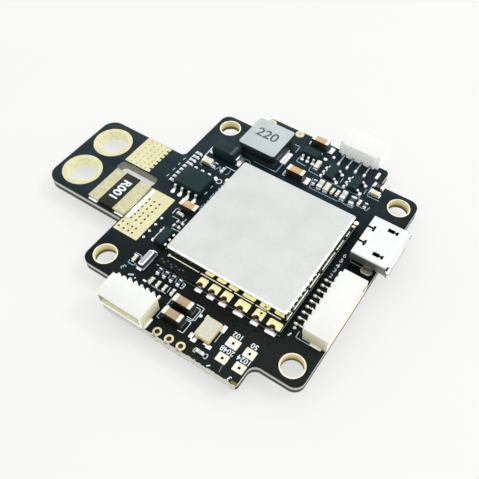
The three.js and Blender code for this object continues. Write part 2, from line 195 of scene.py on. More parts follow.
def mask_material():
    """Solder mask: near black and satin, with the laminate's weave and fine pores just showing."""
    n = Nodes("solder_mask")
    threads = []
    for direction in "XY":
        node = n.add("ShaderNodeTexWave", wave_type="BANDS", bands_direction=direction)
        node.inputs["Scale"].default_value = 1 / (0.9 * MM)
        node.inputs["Distortion"].default_value = 0.6
        n.wire(n.place, node.inputs["Vector"])
        threads.append(node.outputs["Fac"])
    cloth = n.math("MULTIPLY", *threads)
    speck = n.noise(0.12, 2.0)

    # The ink is painted a little bluer and lighter towards the rear of the panel, and a little lighter along
    # its front: a painted sheen, with a faint random tone on top.
    along = n.vector("DOT_PRODUCT", (-0.58, 0.81, 0))["Value"]
    sheen_and_tone = n.math("ADD", n.spread(along, 0, 1, (-19 * MM, 16 * MM)), n.spread(n.noise(5.0, 5.0), -0.06, 0.06))
    n.set(Base_Color=n.ramp(sheen_and_tone, (0.0, (0.009, 0.0125, 0.0115)), (0.2, (0.003, 0.005, 0.0035)),
                            (0.4, (0.003, 0.006, 0.0062)), (0.65, (0.0068, 0.015, 0.0182)),
                            (1.0, (0.0085, 0.0205, 0.026))),
          Roughness=n.spread(speck, 0.3, 0.44), Normal=n.bump(speck, 0.005, n.bump(cloth, 0.008)),
          Specular_IOR_Level=0.07)
    return n.material


def edge_material(name, heights, fibre_low, *stops):
    """The cut edge of a laminate, coloured in bands between two heights by stops: real layers and painted
    shade alike.
    """
    n = Nodes(name)
    split = n.add("ShaderNodeSeparateXYZ")
    n.wire(n.place, split.inputs[0])
    height_band = n.spread(split.outputs["Z"], 0, 1, [z * MM for z in heights])
    fibre = n.noise(0.12, 3.0, stretch=(1, 1, 3))
    fibre_streaks = n.ramp(fibre, (0.35, (fibre_low,) * 3), (0.65, (1, 1, 1)))
    n.set(Base_Color=n.product(n.ramp(height_band, *stops), fibre_streaks),
          Roughness=n.spread(fibre, 0.45, 0.75), Normal=n.bump(fibre, 0.02), Specular_IOR_Level=0.25)
    return n.material


def nylon_material(name, low, high, glow=0.0):
    """Ivory nylon. glow is painted light: an emission that brightens a copy of it beyond what the lamps give.
    """
    n = grained(name, low, high, (0.42, 0.56), (2.5, 3.0), 0.08, 0.004)
    n.set(Subsurface_Weight=0.15, Subsurface_Radius=(0.0009, 0.0008, 0.0006), Subsurface_Scale=0.5)
    if glow:
        n.set(Emission_Color=(1, 1, 0.98, 1), Emission_Strength=glow)
    return n.material


def can_material():
    """Nickel-silver sheet, blasted to a fine matte grain."""
    n = Nodes("can_sheet")
    fine = n.noise(0.3, 4.0, 0.85)
    slow = n.ramp(n.noise(4.0, 4.0), (0.3, (0.56, 0.57, 0.553)), (0.7, (0.62, 0.616, 0.606)))
    n.set(Base_Color=n.product(slow, n.ramp(fine, (0.35, (0.86, 0.88, 0.87)), (0.65, (1, 1, 1)))),
          Metallic=0.85, Roughness=n.spread(fine, 0.42, 0.6), Normal=n.bump(fine, 0.014))
    return n.material


def solder_material():
    n = Nodes("solder")
    slow, fine = n.noise(0.4, 3.0), n.noise(0.07, 2.0)
    n.set(Base_Color=n.ramp(slow, (0.3, (0.86, 0.86, 0.85)), (0.7, (0.95, 0.95, 0.94))), Metallic=0.85,
          Roughness=n.spread(fine, 0.2, 0.4), Normal=n.bump(slow, 0.015, n.bump(fine, 0.004)))
    return n.material


BOARD_Z, MODULE_Z = (0.0, 1.6), (1.64, 2.64)
DARK, PALE = (0.012, 0.013, 0.011), (0.75, 0.76, 0.68)
MASK = mask_material()
# The board's edge: a dark mask line at the top, a pale band of laminate, and dark lower layers that are
# painted shadow under the edge.
EDGE_WITH_PAINTED_SHADOW = edge_material("laminate_edge_with_painted_shadow", BOARD_Z, 0.55, (0.0, DARK), (0.1, (0.1, 0.1, 0.08)),
                     (0.3, (0.03, 0.03, 0.025)), (0.4, DARK), (0.5, (0.3, 0.3, 0.25)), (0.56, PALE),
                     (0.84, PALE), (0.92, DARK))
EDGE_SNAPPED = edge_material("snapped_edge", BOARD_Z, 0.5, (0.0, (0.7, 0.71, 0.6)), (0.3, (0.97, 0.98, 0.88)),
                             (0.6, (0.85, 0.87, 0.7)), (0.8, (1.0, 1.0, 0.93)), (1.0, (0.8, 0.82, 0.66)))
MODULE_EDGE = edge_material("module_edge", MODULE_Z, 0.3, (0.0, (0.16, 0.17, 0.18)), (0.1, DARK), (0.9, DARK),
                            (1.0, (0.1, 0.1, 0.09)))
# The mount holes' barrels go from gold at the top to dark olive at the bottom: painted shade for the shadow
# under the board seen through each hole.
BARREL_WITH_PAINTED_SHADE = edge_material("barrel_with_painted_shade", BOARD_Z, 0.9, (0.0, (0.06, 0.055, 0.03)),
                            (0.28, (0.14, 0.125, 0.06)), (0.45, (0.75, 0.62, 0.25)),
                            (0.8, (0.95, 0.84, 0.46)), (1.0, (0.98, 0.92, 0.62)))
# NYLON is the housings' own colour. The others are lit and shaded copies of it: a yellow painted shade on the
# sides, painted shade deep in the mouths, a mouth floor painted brighter, and NYLON_LIT, near white with a
# glow, which is painted light.
NYLON = nylon_material("ivory_nylon", (0.66, 0.66, 0.625), (0.68, 0.68, 0.645))
NYLON_SIDE_PAINTED_SHADE = nylon_material("ivory_nylon_side_painted_shade", (0.78, 0.74, 0.5), (0.84, 0.8, 0.58))
NYLON_PAINTED_SHADE = nylon_material("ivory_nylon_painted_shade", (0.5, 0.44, 0.24), (0.6, 0.54, 0.33))
NYLON_LIT = nylon_material("ivory_nylon_lit", (0.95, 0.95, 0.92), (0.98, 0.98, 0.96), 0.14)
NYLON_FLOOR_PAINTED_LIGHT = nylon_material("ivory_nylon_floor_painted_light", (0.94, 0.88, 0.62), (0.98, 0.93, 0.7))
CAN = can_material()

# Metals.
SOLDER = solder_material()
JOINT = surface("flat_solder", (0.92, 0.92, 0.91), 0.42, 0.5, (0.05, 0.3), (0.05, 0.01))
JOINT_DIM = surface("shaded_solder", (0.34, 0.34, 0.32), 0.4, 0.8, (0.2, 0.3))
GOLD = surface("gold_plate", (0.61, 0.566, 0.36), 0.34, 1.0, (0.06, 1.5), (0.06, 0.005))
PALE_GOLD = surface("pale_gold", (0.8, 0.75, 0.46), 0.36, 0.9, (0.06, 1.5), (0.06, 0.005))
CREAM_GOLD = surface("cream_gold", (0.8, 0.76, 0.6), 0.4, 0.8, (0.04, 1.5), (0.06, 0.004))
RICH_GOLD = surface("rich_gold", (0.8, 0.6, 0.2), 0.35, 0.35, (0.08, 1.5), (0.06, 0.004))
BARREL = surface("gold_barrel", (0.96, 0.9, 0.6), 0.5, 0.3, (0.12, 0.8), (0.05, 0.006))
AMBER = surface("amber_barrel", (0.2, 0.12, 0.03), 0.45, 0.5, (0.4, 0.4), (0.05, 0.01))
VIA_GOLD = surface("gold_dimple", (0.36, 0.33, 0.16), 0.5, 0.8, (0.2, 0.2))
STEEL = surface("bright_steel", (0.67, 0.675, 0.67), 0.36, 0.7, (0.03, 1.5), (0.1, 0.004))
# A dark copy of the steel: painted shade on the USB shell's sides and its lug collars.
STEEL_PAINTED_SHADE = surface("steel_painted_shade", (0.2, 0.2, 0.165), 0.36, 0.6, (0.1, 1.5), (0.1, 0.004))
# The can's mirror walls carry a pale gold tint: a painted reflection of the gold pads before them.
MIRROR_PAINTED_GOLD_TINT = surface("polished_sheet_painted_gold_tint", (0.97, 0.92, 0.66), 0.05, 1.0, (0.04, 1.5), (1.2, 0.02))
# Near white: a painted highlight on the can's front and right edges and its foot bead, and on the watch
# crystal's lid rim.
PAINTED_HIGHLIGHT = surface("painted_highlight_white", (0.95, 0.95, 0.94), 0.4, 0.15, (0.03, 1.5), (0.1, 0.004))
LID = surface("crystal_lid", (0.34, 0.35, 0.35), 0.4, 0.9, (0.08, 1.5), (0.1, 0.006))
BEIGE_LID = surface("beige_lid", (0.52, 0.52, 0.41), 0.45, 0.6, (0.1, 0.25), (0.12, 0.012))
TIN = surface("tin_plate", (0.8, 0.8, 0.78), 0.28, 0.9, (0.08, 1.5), (0.08, 0.005))
# A dark copy of the tin: painted shade on the rear header's contacts.
TIN_PAINTED_SHADE = surface("tin_painted_shade", (0.3, 0.3, 0.29), 0.4, 1.0, (0.15, 1.5), (0.08, 0.006))
TERMINAL = surface("chip_terminal", (0.8, 0.83, 0.85), 0.36, 0.7, (0.12, 0.3), (0.05, 0.008))
CAP_TOP = surface("cap_terminal_top", (0.7, 0.685, 0.62), 0.4, 0.5, (0.06, 0.4), (0.05, 0.008))
# A dark copy of the end caps' metal: painted shade on their sides and on the joints at their feet.
CAP_TERMINAL_PAINTED_SHADE = surface("cap_terminal_painted_shade", (0.085, 0.085, 0.075), 0.35, 0.7, (0.25, 0.35), (0.05, 0.01))
SHUNT_METAL = surface("shunt_metal", (0.5, 0.475, 0.31), 0.36, 0.9, (0.14, 0.7), (0.12, 0.004))
SLOT_WALL = surface("slot_wall", (0.3, 0.3, 0.22), 0.45, 0.3, (0.3, 0.6), (0.05, 0.01))

# Inks, ceramics and resins.
# White ink, also a painted highlight dot at the module board's front corner.
WHITE_INK_AND_HIGHLIGHT = surface("white_ink_and_painted_highlight", (0.66, 0.77, 0.8), 0.6, 0, (0.12, 0.35), (0.05, 0.006))
INK_BLUE = surface("soft_ink", (0.3, 0.43, 0.5), 0.6, 0, (0.25, 0.3), (0.05, 0.006))
INK_DIM = surface("dim_ink", (0.06, 0.075, 0.08), 0.6, 0, (0.2, 0.3))
# Grey ink for a few printed lines, also painted highlights along the module board's front and right edges.
INK_MID_AND_EDGE_HIGHLIGHT = surface("mid_ink_and_painted_edge_highlight", (0.2, 0.25, 0.27), 0.5, 0, (0.3, 0.6), (0.05, 0.006))
INK_GREY = surface("dark_ink", (0.045, 0.08, 0.085), 0.55, 0, (0.15, 1.5), (0.05, 0.006))
TAN = surface("tan_ceramic", (0.35, 0.25, 0.14), 0.42, 0, (0.16, 0.45), (0.05, 0.008))
BROWN = surface("brown_ceramic", (0.12, 0.085, 0.05), 0.42, 0, (0.16, 0.5), (0.05, 0.006))
ORANGE = surface("orange_ceramic", (0.5, 0.32, 0.14), 0.42, 0, (0.14, 0.45), (0.05, 0.008))
# Painted shade on the sides of the large capacitors' bodies.
CERAMIC_PAINTED_SHADE = surface("ceramic_painted_shade", (0.03, 0.023, 0.015), 0.45, 0, (0.3, 0.4), (0.05, 0.008), 0.2)
SLATE = surface("slate_ceramic", (0.03, 0.042, 0.048), 0.4, 0, (0.25, 0.3), (0.05, 0.006))
ALUMINA = surface("alumina", (0.42, 0.47, 0.46), 0.5, 0, (0.05, 1.5), (0.05, 0.006))
CREAM = surface("cream_ceramic", (0.62, 0.58, 0.38), 0.45, 0, (0.1, 0.3), (0.05, 0.006))
FERRITE = surface("printed_ferrite", (0.4, 0.452, 0.447), 0.5, 0, (0.05, 2.0), (0.09, 0.012))
FERRITE_DARK = surface("bare_ferrite", (0.016, 0.03, 0.032), 0.6, 0, (0.15, 1.5), (0.1, 0.015), 0.2)
EPOXY = surface("black_epoxy", (0.0095, 0.025, 0.0265), 0.5, 0, (0.08, 1.5), (0.06, 0.008), 0.12)
RESIN = surface("coil_resin", (0.01, 0.012, 0.013), 0.45, 0, (0.15, 1.5), (0.12, 0.02), 0.25)
GLAZE = surface("resistor_glaze", (0.008, 0.011, 0.014), 0.3, 0, (0.15, 1.5), specular=0.3)
# The shunt's black coat, also used as painted shade inside the USB shell.
BLACK_COAT_AND_PAINTED_SHADE = surface("black_coat_and_painted_shade", (0.01, 0.01, 0.01), 0.45, 0, (0.15, 1.5), (0.05, 0.01), 0.2)
# Near black: painted shade in via holes and in the slits at the can's front corners.
HOLE_PAINTED_SHADE = surface("painted_hole_shade", (0.004, 0.004, 0.004), 0.8, specular=0.05)
VIA_DARK = surface("olive_via", (0.05, 0.045, 0.008), 0.6, 0, (0.2, 0.2), specular=0.1)
FLUX = surface("flux", (0.12, 0.055, 0.015), 0.3, 0, (0.3, 0.4))

# ---------------- shapes, in millimetres


def rounded(bm, bevel, segments=2, sharp=30):
    """Rounds every edge sharper than the given angle."""
    bmesh.ops.recalc_face_normals(bm, faces=bm.faces[:])
    if bevel:
        edges = [e for e in bm.edges if len(e.link_faces) == 2 and e.calc_face_angle() > math.radians(sharp)]
        bmesh.ops.bevel(bm, geom=edges, offset=bevel, offset_type="OFFSET", segments=segments, profile=0.5,
                        affect="EDGES", clamp_overlap=True)
    return bm


def loft(rings, cap_low=True, closed=False):
    """A skin over rings of points that all have the same count. A closed one has no caps."""
    bm = bmesh.new()
    loops = [[bm.verts.new(p) for p in ring] for ring in rings]
    pairs = list(zip(loops, loops[1:]))
    if closed:
        pairs.append((loops[-1], loops[0]))
    for low, high in pairs:
        for i in range(len(low)):
            j = (i + 1) % len(low)
            bm.faces.new((low[i], low[j], high[j], high[i]))
    if not closed:
        if cap_low:
            bm.faces.new(loops[0][::-1])
        bm.faces.new(loops[-1])
    bmesh.ops.recalc_face_normals(bm, faces=bm.faces[:])
    return bm


def prism(outline, z0, z1, bevel=0.0):
    """A flat outline given a height, with its edges rounded."""
    return rounded(loft([[(x, y, z) for x, y in outline] for z in (z0, z1)]), bevel)


def strip(outline, width, bevel):
    """An outline in the Y-Z plane given a width along X, centred on x = 0."""
    return rounded(loft([[(x, y, z) for y, z in outline] for x in (-width / 2, width / 2)]), bevel, 1)


def block(x0, y0, z0, x1, y1, z1, bevel=0.05, draft=0.0):
    """A box with rounded edges whose top is smaller by draft on each side."""
    return rounded(loft([[(x0 + k, y0 + k, z), (x1 - k, y0 + k, z), (x1 - k, y1 - k, z), (x0 + k, y1 - k, z)]
                         for k, z in ((0.0, z0), (draft, z1))]), bevel)


def rect_ring(x0, y0, x1, y1, r, steps=5):
    """A rectangle with round corners, anticlockwise."""
    r = min(r, (x1 - x0) / 2 - 1e-4, (y1 - y0) / 2 - 1e-4)
    points = []
    centres = ((x1 - r, y0 + r, -90), (x1 - r, y1 - r, 0), (x0 + r, y1 - r, 90), (x0 + r, y0 + r, 180))
    for cx, cy, start in centres:
        for k in range(steps + 1):
            a = math.radians(start + 90 * k / steps)
            points.append((cx + r * math.cos(a), cy + r * math.sin(a)))
    return points


def level(rect, inset, r, z, steps=5):
    """The ring at height z of a shape with rounded corners, inset from its rectangle."""
    x0, y0, x1, y1 = rect
    return [(x, y, z) for x, y in rect_ring(x0 + inset, y0 + inset, x1 - inset, y1 - inset, r, steps)]


def stack(rect, r, levels, steps=5):
    """A loft of rounded rectangles, by (inset, height)."""
    return loft([level(rect, inset, r, z, steps) for inset, z in levels])


def around(x, y, lx, ly):
    """The rectangle centred on x, y."""
    return x - lx / 2, y - ly / 2, x + lx / 2, y + ly / 2


def broken(at, stop, reach, lengths, gaps):
    """A broken line's stretches, as (start, end), none starting beyond stop or ending beyond reach."""
    while at < stop:
        end = min(at + rng.uniform(*lengths), reach)
        yield at, end
        at = end + rng.uniform(*gaps)


def moulded(rect, r, bevel, z0, z1, z2, draft_low, draft_high, steps=2):
    """The two halves of a moulded body, which meet at z1 and taper away from it."""
    return [rounded(stack(rect, r, levels, steps), bevel, 2, 40)
            for levels in (((draft_low, z0), (0.0, z1)), ((0.0, z1), (draft_high, z2)))]


def circle(x, y, r, steps=48):
    return [(x + r * math.cos(2 * math.pi * k / steps), y + r * math.sin(2 * math.pi * k / steps))
            for k in range(steps)]


def corner_path(corners, steps=8):
    """A closed outline whose right-angled corners (x, y, radius) are rounded with arcs."""
    points = []
    for i, (x, y, r) in enumerate(corners):
        here = Vector((x, y))
        before = (Vector(corners[i - 1][:2]) - here).normalized()
        after = (Vector(corners[(i + 1) % len(corners)][:2]) - here).normalized()
        centre = here + (before + after) * r
        for k in range(steps + 1):
            a = math.pi / 2 * k / steps
            points.append(tuple(centre - (after * math.cos(a) + before * math.sin(a)) * r))
    return points


def pad(x, y, lx, ly, z=TOP, h=PAD_H, r=0.08):
    """A thin plated pad with a soft edge."""
    soft = min(0.02, h / 2)
    return stack(around(x, y, lx, ly), r, ((0, z - 0.01), (0, z + h - soft), (soft, z + h)))


def dome(x, y, lx, ly, h, z=TOP, power=0.5):
    """A drop of solder on a rounded rectangle. A smaller power makes a flatter, fuller drop."""
    rings = []
    steps, tip = 5, 0.12
    for k in range(steps + 1):
        a = math.pi / 2 * k / steps
        s = math.cos(a) ** power if k < steps else tip
        height = z - 0.02 + h * math.sin(a)
        rings.append(level(around(x, y, lx * s, ly * s), 0, 0.45 * min(lx, ly) * s, height))
    return loft(rings)


def lathe(profile, x, y, steps=40):
    """Turns a closed profile of (radius, height) points about a vertical axis."""
    return loft([[(px, py, z) for px, py in circle(x, y, r, steps)] for r, z in profile], closed=True)


def disc(x, y, r, z0, z1, steps=20):
    """A thin round plug, whose centre is closed but for a hair."""
    return lathe([(0.001, z1), (r, z1), (r, z0), (0.001, z0)], x, y, steps)


def thick_line(path, t):
    """The outline of a line of (y, z) points given a thickness, as a bent lead's side view."""
    points = [Vector(p) for p in path]
    left, right = [], []
    for i, p in enumerate(points):
        ahead = (points[min(i + 1, len(points) - 1)] - p).normalized()
        behind = (p - points[max(i - 1, 0)]).normalized()
        along = (ahead + behind).normalized()
        side = Vector((-along.y, along.x)) * t / 2
        if ahead.length and behind.length:
            side /= max(0.5, along.dot(ahead))
        left.append(tuple(p + side))
        right.append(tuple(p - side))
    return left + right[::-1]


def solid(data, weld):
    """The mesh of a curve or a text, whose object is then thrown away."""
    obj = bpy.data.objects.new("solid", data)
    bpy.context.scene.collection.objects.link(obj)
    bpy.context.view_layer.update()
    mesh = bpy.data.meshes.new_from_object(obj.evaluated_get(bpy.context.evaluated_depsgraph_get()))
    bm = bmesh.new()
    bm.from_mesh(mesh)
    bmesh.ops.remove_doubles(bm, verts=bm.verts, dist=weld)
    bpy.data.objects.remove(obj)
    bpy.data.curves.remove(data)
    bpy.data.meshes.remove(mesh)
    return bm


def plate(outlines, z0, z1, bevel=0.03):
    """A flat plate with holes and rounded rims. The first outline is the rim and the rest are holes."""
    data = bpy.data.curves.new("plate", "CURVE")
    data.dimensions = "2D"
    data.fill_mode = "BOTH"
    data.extrude = (z1 - z0) / 2 - bevel
    data.bevel_depth = bevel
    data.bevel_resolution = 1
    data.offset = -bevel
    for outline in outlines:
        spline = data.splines.new("POLY")
        spline.points.add(len(outline) - 1)
        for point, (x, y) in zip(spline.points, outline):
            point.co = (x, y, 0, 1)
        spline.use_cyclic_u = True
    bm = solid(data, 0.001)
    bmesh.ops.recalc_face_normals(bm, faces=bm.faces[:])
    return placed(bm, z=(z0 + z1) / 2)


def lettering(text, x, y, size, z=TOP, turn=0.0, weight=0.012):
    """Printed numerals, centred on x, y. weight thickens their strokes, as a share of their size."""
    data = bpy.data.curves.new("text", "FONT")
    data.body = text
    data.size = size
    data.align_x = data.align_y = "CENTER"
    data.extrude = SILK_H / 2
    data.offset = size * weight
    return placed(solid(data, 0.0005), x, y, z + SILK_H / 2, turn)


def placed(bm, x=0.0, y=0.0, z=0.0, turn=0.0, flip=False):
    matrix = Matrix.Translation((x, y, z)) @ Matrix.Rotation(math.radians(turn), 4, "Z")
    if flip:
        matrix = matrix @ Matrix.Rotation(math.pi, 4, "X")
    bmesh.ops.transform(bm, matrix=matrix, verts=bm.verts)
    return bm


def from_node(node, bevel=0.0, segments=2):
    """A CAD node's shape, with its flat faces merged and its edges rounded."""
    bm = bmesh.new()
    bm.from_mesh(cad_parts[node].data)
    bmesh.ops.scale(bm, vec=(1 / MM,) * 3, verts=bm.verts)
    bmesh.ops.remove_doubles(bm, verts=bm.verts, dist=0.002)
    bmesh.ops.dissolve_limit(bm, angle_limit=math.radians(1), verts=bm.verts[:], edges=bm.edges[:],
                             use_dissolve_boundaries=False)
    return rounded(bm, bevel, segments)


class Piece:
    """Collects shapes in millimetres, each with its material, and becomes one object in metres."""

    def __init__(self, name):
        self.name = name
        self.bm = bmesh.new()
        self.materials = []

    def index(self, material):
        if material not in self.materials:
            self.materials.append(material)
        return self.materials.index(material)

    def add(self, shape, material):
        """material is one material, or a function that picks one for a face."""
        for face in shape.faces:
            face.material_index = self.index(material(face) if callable(material) else material)
        mesh = bpy.data.meshes.new("shape")
        shape.to_mesh(mesh)
        shape.free()
        self.bm.from_mesh(mesh)
        bpy.data.meshes.remove(mesh)

    def done(self, slot, *replaced):
        bmesh.ops.scale(self.bm, vec=(MM, MM, MM), verts=self.bm.verts)
        mesh = bpy.data.meshes.new(self.name)
        self.bm.to_mesh(mesh)
        self.bm.free()
        for material in self.materials:
            mesh.materials.append(material)
        mesh.polygons.foreach_set("use_smooth", [True] * len(mesh.polygons))
        mesh.set_sharp_from_angle(angle=math.radians(35))
        obj = bpy.data.objects.new(self.name, mesh)
        bpy.context.scene.collection.objects.link(obj)
        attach(obj, "root")
        if replaced:
            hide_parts(*replaced)


# ---------------- the boards

HALF = 17.7                         # half the square that holds the mounting holes
MID_HALF = 10.9                     # half the width of the front and rear tongues
TAB_LOW, TAB_HIGH = -9.2, 6.05
MOUNT_HOLES = [(sx * 15.25, sy * 15.25) for sx in (-1, 1) for sy in (-1, 1)]
MOUNT_R = 1.57
POWER_HOLES = [(-28.9, 1.95), (-28.9, -5.15)]
POWER_R = 2.35
SIGNAL_HOLES = [(x, -20.75) for x in (-1.63, 0.27, 2.12)]
SIGNAL_R = 0.36
SLOT = (-24.9, -2.1, -17.85, -0.15)
USB_LOW, USB_HIGH = corners("usb_shell")
USB_LUGS = [(16.4, USB_LOW.y + 0.125), (16.4, USB_HIGH.y - 0.125)]


def main_board():
    rim = corner_path([
        (-HALF, TAB_LOW, 0.3), (-HALF, -HALF, 1.5), (-MID_HALF, -HALF, 1.2), (-MID_HALF, MID_FRONT, 0.7),
        (MID_HALF, MID_FRONT, 0.7), (MID_HALF, -HALF, 1.2), (HALF, -HALF, 1.5), (HALF, HALF, 1.5),
        (MID_HALF, HALF, 1.2), (MID_HALF, MID_REAR, 0.7), (-MID_HALF, MID_REAR, 0.7), (-MID_HALF, HALF, 1.2),
        (-HALF, HALF, 1.5), (-HALF, TAB_HIGH, 0.8), (TAB_X, TAB_HIGH, 2.1), (TAB_X, TAB_LOW, 2.2)])

    # The front edge was snapped out of its panel, so it is a little ragged.
    ragged, teeth, bite = [], 70, 0.2
    for here, after in zip(rim, rim[1:] + rim[:1]):
        ragged.append(here)
        if max(here[1], after[1]) < MID_FRONT + 0.01 and after[0] - here[0] > 5:
            ragged += [(here[0] + (after[0] - here[0]) * k / teeth, MID_FRONT + rng.uniform(0, 1) ** 2 * bite)
                       for k in range(1, teeth)]
    round_holes = ((MOUNT_HOLES, MOUNT_R, 64, 0.3), (POWER_HOLES, POWER_R, 64, 0.3),
                   (SIGNAL_HOLES, SIGNAL_R, 24, 0.2))
    holes = [circle(x, y, r, steps) for places, r, steps, _ in round_holes for x, y in places]
    holes.append(rect_ring(*SLOT, 0.7, 8))
    holes += [rect_ring(*around(x, y, 1.4, 0.64), 0.3) for x, y in USB_LUGS]
    plated = [(x, y, r + margin) for places, r, _, margin in round_holes for x, y in places]
    plated += [(x, y, 0.9) for x, y in USB_LUGS]

    def pick(face):
        if abs(face.normal.z) > 0.9:
            return MASK
        centre = face.calc_center_median()
        if any(math.hypot(centre.x - x, centre.y - y) < r for x, y, r in plated):
            return GOLD
        if SLOT[0] - 0.1 < centre.x < SLOT[2] + 0.05 and SLOT[1] - 0.1 < centre.y < 0:
            return SLOT_WALL
        return EDGE_SNAPPED if centre.y < MID_FRONT + bite + 0.01 else EDGE_WITH_PAINTED_SHADOW

    board = Piece("board_laminate")
    board.add(plate([ragged, *holes], UNDER, TOP), pick)
    board.done("solder_mask", "main_board")


def plated_holes():
    """The gold rings and barrels of every plated hole."""
    rings = Piece("plated_rings")

    def barrel(x, y, inner, outer, height=PLATING, steps=64, wall=BARREL, crown=GOLD):
        soft = 0.02
        rings.add(lathe([(inner - 0.02, UNDER - height + soft), (inner - 0.02, TOP + height - soft),
                         (inner, TOP + height), (outer - soft, TOP + height), (outer, TOP + height - soft),
                         (outer, TOP - 0.02), (inner + 0.02, TOP - 0.02), (inner + 0.02, UNDER + 0.02),
                         (outer, UNDER + 0.02), (outer, UNDER - height + soft),
                         (outer - soft, UNDER - height), (inner, UNDER - height)], x, y, steps),
                  lambda face: crown if abs(face.normal.z) > 0.5 else wall)

    for x, y in MOUNT_HOLES:
        barrel(x, y, MOUNT_R, MOUNT_R + 0.17, wall=BARREL_WITH_PAINTED_SHADE, crown=CREAM_GOLD)
    for x, y in POWER_HOLES:
        barrel(x, y, POWER_R, 3.1)
    for x, y in SIGNAL_HOLES:
        barrel(x, y, SIGNAL_R, 0.64, 0.03, 24, AMBER)
        rings.add(pad(x - 0.15, (y + MID_FRONT) / 2 - 0.27, 0.5, 0.2, r=0.05), GOLD)
        rings.add(block(x - 0.4, MID_FRONT - 0.015, TOP - 0.45, x + 0.1, MID_FRONT + 0.1, TOP + 0.02, 0.02),
                  AMBER)
    arch = [math.pi * k / 6 for k in range(7)]
    for x, y in USB_LUGS:
        rings.add(pad(x, y, 1.75, 1.5, r=0.7), CREAM_GOLD)
        collar = lathe([(0.46 + 0.13 * math.cos(a), TOP + 0.04 + 0.2 * math.sin(a)) for a in arch], 0, 0, 32)
        bmesh.ops.scale(collar, vec=(1.1, 0.95, 1), verts=collar.verts)
        rings.add(placed(collar, x, y), STEEL_PAINTED_SHADE)
    rings.done("gold")


def module_board():
    x0, y0, z0, x1, y1, z1 = mm_box("vtx_module_board")
    edge_xs = [-0.87, 1.1, 3.05, 5.58, 8.07, 10.53]
    radius = 0.5
    turn = [math.pi * k / 12 for k in range(13)]
    outline = [(x0, y1), (x0, y0)]
    for x in edge_xs:
        outline += [(x - radius * math.cos(a), y0 + radius * math.sin(a)) for a in turn]
    outline += [(x1, y0), (x1, y1)]

    module = Piece("module_laminate")
    module.add(plate([outline], z0, z1),
               lambda face: MASK if abs(face.normal.z) > 0.9 else MODULE_EDGE)
    module.done("solder_mask", "vtx_module_board")

    # Each half-hole has a pad around it on the top, a plated wall and a flat joint in front of it.
    pads = Piece("module_edge_pads")
    for x, half, depth in zip(edge_xs, (0.66, 0.7, 0.7, 0.95, 0.72, 0.98), (1.25, 1.25, 1.3, 1.3, 1.4, 1.15)):
        arc, inner = ([(x + (radius - wall) * math.cos(a), y0 - drop + (radius - wall) * math.sin(a))
                       for a in turn] for wall, drop in ((0.02, 0), (0.07, 0.03)))
        left, right, near, far = x - half + 0.1, x + half + 0.12, y0 - 0.02, y0 + depth
        pads.add(prism([(left, near), *arc[::-1], (right, near), (right, far - 0.15), (right - 0.15, far),
                        (left + 0.15, far), (left, far - 0.15)], z1 - 0.01, z1 + PAD_H), PALE_GOLD)
        pads.add(prism(arc + inner[::-1], z0, z1 + PAD_H + 0.01), AMBER)
        front, wide = y0 - 0.62, half * 0.85
        pads.add(prism([(x - wide, front + 0.12), (x - wide + 0.2, front), (x + wide - 0.1, front + 0.05),
                        (x + wide, y0 + 0.1), (x - wide, y0 + 0.1)], TOP, TOP + 0.2, 0.05), JOINT)
        pads.add(block(x - 0.36, y0 - 0.1, TOP, x + 0.36, y0 + 0.36, TOP + 0.55, 0.12, 0.1), JOINT_DIM)
    pads.add(disc(8.3, y0 + 0.98, 0.17, z1, z1 + 0.038), HOLE_PAINTED_SHADE)
    for x, y, size in ((x0 + 0.92, y0 + 1.55, 0.4), (x1 - 0.2, y1 - 0.3, 0.75), (x1 - 0.22, y1 - 1.1, 0.5)):
        pads.add(dome(x, y, size, size, 0.14, z1, 0.4), CREAM_GOLD)
    # Thin pale strips along the module's front and right edges and a white dot at its front-left corner:
    # painted highlights where those edges catch the light.
    pads.add(block(x0, y0 - 0.05, TOP, x1, y0 + 0.02, TOP + 0.03, 0), INK_MID_AND_EDGE_HIGHLIGHT)
    pads.add(block(x1 - 0.02, y0, z1 - 0.04, x1 + 0.03, y1, z1 + 0.005, 0), INK_MID_AND_EDGE_HIGHLIGHT)
    pads.add(dome(x0 + 0.1, y0, 0.3, 0.3, 0.1), WHITE_INK_AND_HIGHLIGHT)
    for x, y in ((0.5, 0.6), (1.4, 0.75), (2.1, 0.55), (2.8, 0.7), (3.5, 0.5), (4.0, 0.65), (2.4, 0.25),
                 (1.0, 0.3)):
        pads.add(pad(x0 + x, y0 + y, 0.3, 0.22, z1, 0.01, 0.1), INK_DIM)
    pads.done("gold")


